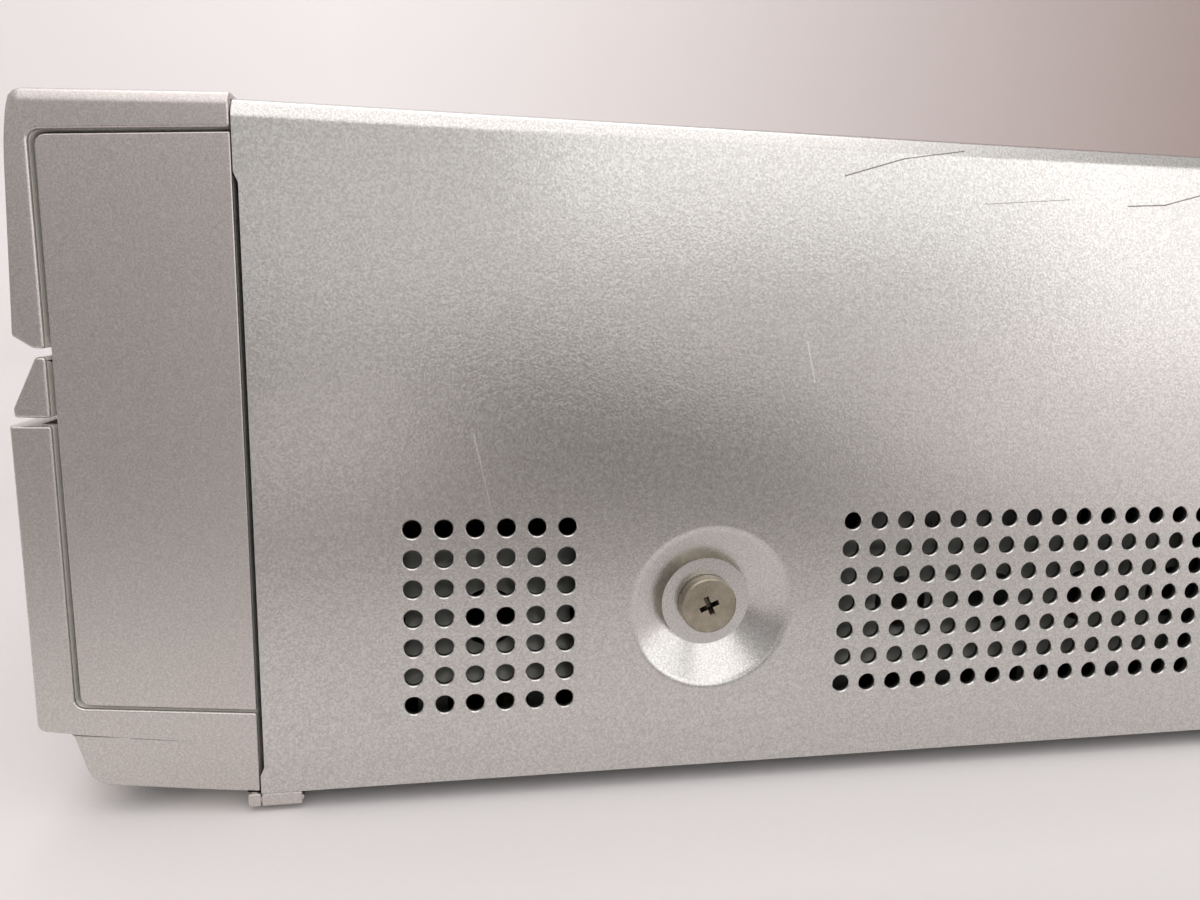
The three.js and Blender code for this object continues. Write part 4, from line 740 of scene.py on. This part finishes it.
def zinc_plate(place):
    cloud = place.noise(5 * mm, detail=3.0)
    spangle = place.noise(1.4 * mm, detail=1.0)
    base = cloud.spread(0.3, 0.7).mixed(colour(112, 115, 110), colour(138, 140, 135))
    return {
        "Base Color": spangle.spread(0.42, 0.62).mixed(base, colour(124, 127, 122)),
        "Metallic": 0.94,
        "Roughness": spangle.spread(0.3, 0.7, 0.3, 0.46),
        "Normal": cloud.relief(0.02 * mm),
    }


zinc = material("zinc_plate", zinc_plate)
tray = tray_shell()
punches = []
for side, last in ((1, 6), (-1, 0)):
    face = side * tray_high.x
    ends = sorted((face - side * flange_reach, face + side * mm))
    for k in range(-holes_before_screw, last + 1):
        y = screw_y + k * flange_pitch
        radius = flange_hole if k else shank_hole
        height = flange_hole_z if k else screw_z
        profile = [(0, ends[0]), (radius, ends[0]), (radius, ends[1]), (0, ends[1])]
        hole = lathe("flange_punch", profile, 24)
        hole.data.transform(Matrix.Translation((0, y, height)))
        punches.append(hole)
        half = (flange_pitch - flange_web) / 2
        low, high = (ends[0], y - half, flange_slot[0]), (ends[1], y + half, flange_slot[1])
        punches.append(slot_punch(low, high, 0, flange_slot_round))
for y in floor_slot_y:
    for i in range(floor_slot_count):
        x = floor_slot_x + i * floor_slot_pitch
        low, high = (x, y, 0), (x + floor_slot[0], y + floor_slot[1], floor_reach)
        punches.append(slot_punch(low, high, 2, floor_slot_round))
combine(tray, merged(punches, "tray_punches"), "DIFFERENCE")
smooth(tray, 30)
finish_piece(tray, zinc, "casing", slots["base_pan"], "base_pan")

# Front mouldings
# Injection moulded plastic in the cover's silver paint, clipped to the tray: the upper and lower
# fascia, the slanted key strip between them, the inner frame whose cheeks show at the sides, and
# the two hinged doors.


def blank_copy(node):
    """A copy of a node as one clean mesh: its loose triangles are merged and its flats rejoined."""
    piece = copy_of(nodes[node], node + "_shape")
    piece.hide_render = False
    piece.hide_viewport = False
    piece.parent = None
    for key in list(piece.keys()):
        del piece[key]
    take_up(piece)
    bpy.ops.object.mode_set(mode="EDIT")
    bpy.ops.mesh.select_all(action="SELECT")
    bpy.ops.mesh.remove_doubles(threshold=2e-6)
    bpy.ops.mesh.dissolve_limited(angle_limit=math.radians(1))
    bpy.ops.object.mode_set(mode="OBJECT")
    return piece


def rounded(piece, width, segments=3, sharp=28):
    """Rounds every edge of the piece that is sharper than this angle."""
    take_up(piece)
    bpy.ops.object.mode_set(mode="EDIT")
    bpy.ops.mesh.select_mode(type="EDGE")
    bpy.ops.mesh.select_all(action="DESELECT")
    bpy.ops.mesh.edges_select_sharp(sharpness=math.radians(sharp))
    bpy.ops.mesh.bevel(offset=width, segments=segments, clamp_overlap=False)
    bpy.ops.object.mode_set(mode="OBJECT")


fascia_depth = 27 * mm
side_draft = 2.3 * mm
paint_depth = 0.45 * mm
face_depth = 4 * mm
corner_round = 1.75 * mm
top_depth = 1.2 * mm
nub_inset = 8 * mm
nub_floor = 0.8 * mm
nub_spans = ((-1.6 * mm, 0.05 * mm), (0.12 * mm, 5.2 * mm))
top_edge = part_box("upper_fascia")[1].z
nub_top = 3 * mm
case_side = cover_high.x
seam_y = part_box("upper_fascia")[1].y
front_y = cad_box[0].y


def moulding_paint(place):
    flakes = place.noise(0.24 * mm, detail=1.0)
    grain = place.noise(0.6 * mm, detail=2.0)
    cloud = place.noise(30 * mm, detail=1.0)
    base = flakes.spread(0.36, 0.68).mixed(colour(181, 177, 173), colour(219, 215, 212))
    warm = cloud.spread(0.35, 0.65).mixed(colour(200, 196, 191), colour(204, 193, 192))
    toned = place.noise(1.0 * mm).spread(0.2, 0.8, 0.4, 0.6).mixed(base, warm)
    lean = (seam_y - place.axis("Y")) * (side_draft / fascia_depth)
    depth = case_side - lean - place.maths("ABSOLUTE", place.axis("X"))
    # Inside the groove and behind the faces the plastic is unpainted; its colour is raised to near white
    # as painted light on the lit groove wall.
    inside = (depth > paint_depth) * (place.axis("Y") > front_y + face_depth)
    inside = inside * (place.axis("Z") > nub_top) * (place.axis("Z") < top_edge - top_depth)
    return {
        "Base Color": inside.mixed(toned, colour(238, 236, 230)),
        "Metallic": (1 - inside) * 0.85,
        "Roughness": grain.spread(0.3, 0.7, 0.28, 0.36),
        "Normal": (flakes * 0.6 + grain * 0.4).relief(0.016 * mm),
    }


silver_moulding = material("silver_moulding_paint", moulding_paint)


def finish_moulding(piece, node, slot):
    smooth(piece, 35)
    finish_piece(piece, silver_moulding, nodes[node]["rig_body"], slot, node)
    piece.name = node + "_moulding"


upper = blank_copy("upper_fascia")
bpy.ops.object.mode_set(mode="EDIT")
end = case_side - side_draft - 0.1 * mm
choose_edges(
    upper,
    lambda a, b: (
        a.x * b.x > 0
        and min(abs(a.x), abs(b.x)) > end
        and min(a.z, b.z) > top_edge - 3 * mm
        and abs(a.y - b.y) > 0.2 * mm
    ),
)
bpy.ops.mesh.bevel(offset=corner_round, segments=6, clamp_overlap=False)
bpy.ops.object.mode_set(mode="OBJECT")
rounded(upper, 0.35 * mm)
finish_moulding(upper, "upper_fascia", "fascia_plastic")
lower = blank_copy("lower_fascia")
rounded(lower, 0.3 * mm, sharp=40)
nub_parts = [lower]
for side in (1, -1):
    ends = sorted((side * (case_side - nub_inset), side * (case_side - 0.12 * mm)))
    for start, end in nub_spans:
        low = Vector((ends[0], seam_y + start, nub_floor))
        high = Vector((ends[1], seam_y + end, cover_low.z - 0.1 * mm))
        nub = block("nub", (low + high) / 2, high - low)
        modify(nub, "BEVEL", width=0.25 * mm, segments=3)
        nub_parts.append(nub)
lower = merged(nub_parts, "lower_fascia_shape")
finish_moulding(lower, "lower_fascia", "fascia_plastic")
for node, width, sharp, slot in (
    ("control_strip", 0.35 * mm, 28, "dark_plastic"),
    ("front_frame", 0.2 * mm, 28, "cheek_plastic"),
    ("cassette_door", 0.15 * mm, 70, "fascia_plastic"),
    ("av_door", 0.3 * mm, 40, "fascia_plastic"),
):
    piece = blank_copy(node)
    rounded(piece, width, sharp=sharp)
    finish_moulding(piece, node, slot)

# Keys and buttons
# Eight moulded caps in the fascia's silver with softened edges. The six small ones stand square
# to the slanted strip, the two large ones are for power and eject; each slides on its own stem.


def dressed(node, look, width, segments=2):
    """Stands in for a CAD node: its shape with hard edges rounded to this width, in this finish."""
    piece = blank_copy(node)
    rounded(piece, width, segments, sharp=35)
    smooth(piece, 30)
    finish_piece(piece, look, nodes[node]["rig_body"], slots[node], node)
    piece.name = node + "_dressed"


for node in ("rewind", "play", "fast_forward", "stop", "pause", "record"):
    dressed(node + "_button", silver_moulding, 0.4 * mm, 3)
for node in ("power_button", "eject_button"):
    dressed(node, silver_moulding, 0.45 * mm, 3)

# Display
# A smoked acrylic window over a glass fluorescent tube, whose phosphor segments stay unlit, and
# the paper-based board that carries the tube and the key switches.


def smoked_acrylic(place):
    haze = place.noise(14 * mm)
    return {
        "Base Color": haze.spread(0.3, 0.7).mixed(colour(20, 18, 22), colour(30, 26, 30)),
        "Roughness": haze.spread(0.3, 0.7, 0.08, 0.14),
        "Coat Weight": 0.3,
        "Normal": place.noise(40 * mm).relief(0.05 * mm),
    }


def tube_glass(place):
    grid = place.maths("FRACT", place.axis("Z") / (0.8 * mm))
    wires = (grid > 0.7) * 0.5
    return {
        "Base Color": wires.mixed(colour(38, 62, 58), colour(120, 132, 126)),
        "Roughness": place.noise(3 * mm).spread(0.3, 0.7, 0.1, 0.2),
        "Coat Weight": 0.6,
        "Normal": place.noise(20 * mm).relief(0.03 * mm),
    }


def board_resin(place):
    fibre = place.noise(0.9 * mm, detail=3.0)
    patch = place.noise(7 * mm)
    copper = (patch > 0.52) * 0.35
    base = fibre.spread(0.3, 0.7).mixed(colour(124, 98, 50), colour(142, 116, 64))
    return {
        "Base Color": copper.mixed(base, colour(84, 92, 44)),
        "Roughness": fibre.spread(0.3, 0.7, 0.42, 0.6),
        "Normal": fibre.relief(0.02 * mm),
    }


dressed("display_window", material("smoked_acrylic", smoked_acrylic), 0.35 * mm, 3)
dressed("display_tube", material("tube_glass", tube_glass), 0.5 * mm, 3)
resin = material("board_resin", board_resin)
dressed("front_board", resin, 0.15 * mm, 1)

# Feet
# Four round black rubber feet, each with a raised pad in the middle of its underside. They are
# moulded in one piece and pressed into holes in the tray's floor.


def rubber(place):
    fine = place.noise(0.25 * mm, detail=3.0)
    return {
        "Base Color": place.noise(3 * mm).spread(0.3, 0.7).mixed(colour(30, 30, 31), colour(42, 41, 42)),
        "Roughness": fine.spread(0.3, 0.7, 0.72, 0.88),
        "Normal": fine.relief(0.03 * mm),
    }


black_rubber = material("black_rubber", rubber)
foot_low, foot_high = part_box("foot_front_right")
foot_radius = (foot_high.x - foot_low.x) / 2
foot_rise = foot_high.z - foot_low.z
pad_radius = 0.62 * foot_radius
foot_profile = [
    (0, 0),
    (pad_radius, 0),
    (pad_radius + 0.15 * mm, 0.2 * mm),
    (pad_radius + 0.2 * mm, 0.7 * mm),
    (pad_radius + 0.9 * mm, 0.75 * mm),
    (pad_radius + 1 * mm, 0.5 * mm),
    (0.92 * foot_radius, 0.45 * mm),
    (0.97 * foot_radius, 0.6 * mm),
    (foot_radius, foot_rise - 0.6 * mm),
    (foot_radius - 0.5 * mm, foot_rise),
    (0, foot_rise),
]
foot = lathe("foot", foot_profile, 48)
for node in ("foot_front_right", "foot_front_left", "foot_rear_right", "foot_rear_left"):
    low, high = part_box(node)
    middle = (low + high) / 2
    piece = copy_of(foot, node + "_turned", (0, -math.pi / 2, 0), (middle.x, middle.y, low.z))
    smooth(piece, 30)
    finish_piece(piece, black_rubber, "casing", slots[node], node)
bpy.data.objects.remove(foot)

# Rear panel and sockets
# The zinc-plated rear wall, black moulded blocks of phono sockets behind it and behind the front
# door, the screened tuner with its aerial sockets, and the two-pin mains inlet.


def black_moulding(place):
    grain = place.noise(0.4 * mm, detail=3.0)
    return {
        "Base Color": place.noise(8 * mm).spread(0.3, 0.7).mixed(colour(30, 30, 32), colour(40, 40, 42)),
        "Roughness": grain.spread(0.3, 0.7, 0.42, 0.58),
        "Normal": grain.relief(0.02 * mm),
    }


black_plastic = material("black_moulding", black_moulding)
socket_core = 2.9 * mm
rear_pitch = 16 * mm
rear_margin = 13 * mm
rear_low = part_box("rear_jack_block")[0]
rear_first = (rear_low.x + rear_margin + rear_pitch / 2, rear_low.z + rear_pitch / 2)
panel_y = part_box("rear_panel")[1].y
front_pitch = 24 * mm
front_height = 26 * mm
front_first = (sum(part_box("av_door"), Vector()).x / 2 - front_pitch, front_height)
front_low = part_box("front_jack_block")[0]
front_reach = 4.8 * mm
panel_gap = 0.2 * mm
beyond = 1.0


def socket_plastic(first, pitch, low, high):
    """Black, with sleeves in a colour for each column round plated shells between two places of y.

    The first column and the lowest row meet at the x and z of first.
    """
    def build(place):
        grain = place.noise(0.4 * mm, detail=3.0)
        across = (place.axis("X") - first[0]) / pitch
        up = (place.axis("Z") - first[1]) / pitch
        off = length(across - across.maths("ROUND", across), up - up.maths("ROUND", up)) * pitch
        outside = (place.axis("Y") > low) * (place.axis("Y") < high)
        core = outside * (off < socket_core)
        column = (across > 0.5).mixed(colour(212, 172, 40), colour(226, 224, 218))
        sleeve = (across > 1.5).mixed(column, colour(176, 34, 32))
        body = place.noise(8 * mm).spread(0.3, 0.7).mixed(colour(30, 30, 32), colour(40, 40, 42))
        return {
            "Base Color": core.mixed(outside.mixed(body, sleeve), colour(176, 172, 160)),
            "Metallic": core,
            "Roughness": grain.spread(0.3, 0.7, 0.36, 0.5),
            "Normal": grain.relief(0.015 * mm),
        }

    return build


rear_sockets = socket_plastic(rear_first, rear_pitch, panel_y + panel_gap, beyond)
front_sockets = socket_plastic(front_first, front_pitch, -beyond, front_low.y + front_reach)
dressed("rear_panel", zinc, 0.15 * mm, 1)
dressed("rear_jack_block", material("rear_socket_block", rear_sockets), 0.2 * mm)
dressed("front_jack_block", material("front_socket_block", front_sockets), 0.2 * mm)
dressed("tuner_can", zinc, 0.3 * mm)
dressed("ac_inlet", black_plastic, 0.3 * mm)

# Deck and carriage
# The pressed and zinc-plated deck with a bracket on each side. A steel cassette holder slides in
# and drops between them on its carriage, driven by a nylon rack gear.


def nylon(low, high):
    def build(place):
        cloud = place.noise(4 * mm)
        return {
            "Base Color": cloud.spread(0.3, 0.7).mixed(low, high),
            "Roughness": place.noise(0.6 * mm).spread(0.3, 0.7, 0.36, 0.5),
            "Normal": place.noise(0.8 * mm).relief(0.01 * mm),
        }

    return build


white_nylon = material("white_nylon", nylon(colour(222, 218, 206), colour(236, 232, 222)))
for node in ("deck_plate", "bracket_left", "bracket_right", "cassette_holder", "carriage_slider"):
    dressed(node, zinc, 0.25 * mm)
dressed("carriage_gear", white_nylon, 0.12 * mm, 1)

# Head drum
# The two turned aluminium halves of the leaning drum: the lower one fixed, with the tape's guide
# step round it, the upper one spinning with the video heads.


def turned_aluminium(place):
    cloud = place.noise(9 * mm)
    return {
        "Base Color": cloud.spread(0.3, 0.7).mixed(colour(192, 192, 190), colour(212, 212, 210)),
        "Metallic": 0.97,
        "Roughness": place.noise(3 * mm).spread(0.3, 0.7, 0.26, 0.34),
        "Normal": place.noise(2 * mm).relief(0.004 * mm),
    }


aluminium = material("turned_aluminium", turned_aluminium)
dressed("lower_drum", aluminium, 0.25 * mm)
dressed("upper_drum", aluminium, 0.25 * mm)

# Tape path
# Nylon reel tables, idler and mode gear, the capstan's aluminium flywheel, the rubber pinch roller
# on its arm, and a plated tension arm, guides, heads and worm motor. They stand on the deck, pull
# the tape out and lay it round the drum.
black_nylon = material("black_nylon", nylon(colour(30, 30, 32), colour(44, 44, 46)))
for node in ("supply_reel_table", "takeup_reel_table", "idler_wheel"):
    dressed(node, black_nylon, 0.25 * mm)
dressed("mode_gear", white_nylon, 0.1 * mm, 1)
dressed("capstan_flywheel", aluminium, 0.3 * mm)
dressed("pinch_roller", black_rubber, 0.3 * mm)
for node in ("pinch_arm", "tension_arm", "guide_supply", "guide_takeup", "ac_head", "erase_head"):
    dressed(node, zinc, 0.2 * mm)
dressed("loading_motor", zinc, 0.2 * mm, 1)

# Power supply and boards
# The main and power boards on their posts, the laminated transformer with its wound bobbin, an
# aluminium heat sink, and rows of capacitors and chips soldered to the boards.


def laminations(place):
    sheets = place.maths("FRACT", place.axis("Z") / (0.5 * mm))
    edge = sheets.spread(0.0, 0.2, 1.0, 0.0)
    base = place.noise(2 * mm).spread(0.3, 0.7).mixed(colour(66, 62, 58), colour(98, 92, 86))
    return {
        "Base Color": (edge * 0.6).mixed(base, colour(34, 32, 30)),
        "Metallic": 0.4,
        "Roughness": place.noise(1 * mm).spread(0.3, 0.7, 0.45, 0.6),
        "Normal": (1 - edge).relief(0.05 * mm),
    }


iron = material("iron_laminations", laminations)
dressed("transformer", iron, 0.4 * mm)
dressed("heat_sink", aluminium, 0.15 * mm, 1)
dressed("main_board", resin, 0.15 * mm, 1)
dressed("power_board", resin, 0.15 * mm, 1)
can_radius = 4 * mm
can_height = 11 * mm
sleeve_repeat = 11.3 * mm
can_profile = [
    (0, 0),
    (can_radius - 0.2 * mm, 0),
    (can_radius, 0.5 * mm),
    (can_radius, 1.2 * mm),
    (can_radius - 0.3 * mm, 1.5 * mm),
    (can_radius, 1.8 * mm),
    (can_radius, can_height - 0.4 * mm),
    (can_radius - 0.4 * mm, can_height),
    (0.55 * can_radius, can_height - 0.15 * mm),
    (0, can_height - 0.2 * mm),
]
chip_size = (6.4 * mm, 20 * mm, 3 * mm)
chip_rise = 2.2 * mm
chip_legs = 8
chip_pitch = 2.54 * mm
leg_size = (0.9 * mm, 0.5 * mm, 2.2 * mm)
leg_out = 3.6 * mm
can = lathe("capacitor", can_profile, 32)
can.data.transform(Matrix.Rotation(-math.pi / 2, 4, "Y"))


def sleeve(place):
    cloud = place.noise(5 * mm)
    rise = place.maths("FRACT", place.axis("Z") / sleeve_repeat)
    return {
        "Base Color": cloud.spread(0.3, 0.7).mixed(colour(24, 28, 52), colour(34, 38, 66)),
        "Roughness": rise.spread(0.0, 1.0, 0.3, 0.4),
        "Normal": cloud.relief(0.02 * mm),
    }


def chip():
    """A chip: its black case between two rows of straight legs."""
    body = block("chip_body", (0, 0, chip_rise), chip_size)
    modify(body, "BEVEL", width=0.35 * mm, segments=2)
    parts = [body]
    for side in (1, -1):
        for i in range(chip_legs):
            y = (i - (chip_legs - 1) / 2) * chip_pitch
            parts.append(block("chip_leg", (side * leg_out, y, leg_size[2] / 2), leg_size))
    return merged(parts, "chip")


def rows_on(board, shape, kind, look, places):
    """Copies of a shape at these shares of a board's width and depth, as one piece."""
    low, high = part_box(board)
    size = high - low
    copies = [
        copy_of(shape, board + kind, move=(low.x + x * size.x, low.y + y * size.y, high.z))
        for x, y in places
    ]
    row = merged(copies, board + kind)
    smooth(row, 30)
    finish_piece(row, look, "casing", slots[board])


dark_sleeve = material("capacitor_sleeve", sleeve)
chip_shape = chip()
for board, can_shares, chip_shares in (
    (
        "main_board",
        ((0.15, 0.12), (0.15, 0.2), (0.3, 0.12), (0.8, 0.1), (0.85, 0.5), (0.15, 0.62), (0.8, 0.85)),
        ((0.5, 0.16), (0.3, 0.35), (0.7, 0.35), (0.5, 0.55), (0.35, 0.75), (0.7, 0.72)),
    ),
    (
        "power_board",
        ((0.15, 0.1), (0.3, 0.1), (0.5, 0.12), (0.2, 0.3), (0.4, 0.32), (0.15, 0.5), (0.35, 0.55)),
        ((0.75, 0.18),),
    ),
):
    rows_on(board, can, "_capacitors", dark_sleeve, can_shares)
    rows_on(board, chip_shape, "_chips", black_plastic, chip_shares)
bpy.data.objects.remove(can)
bpy.data.objects.remove(chip_shape)
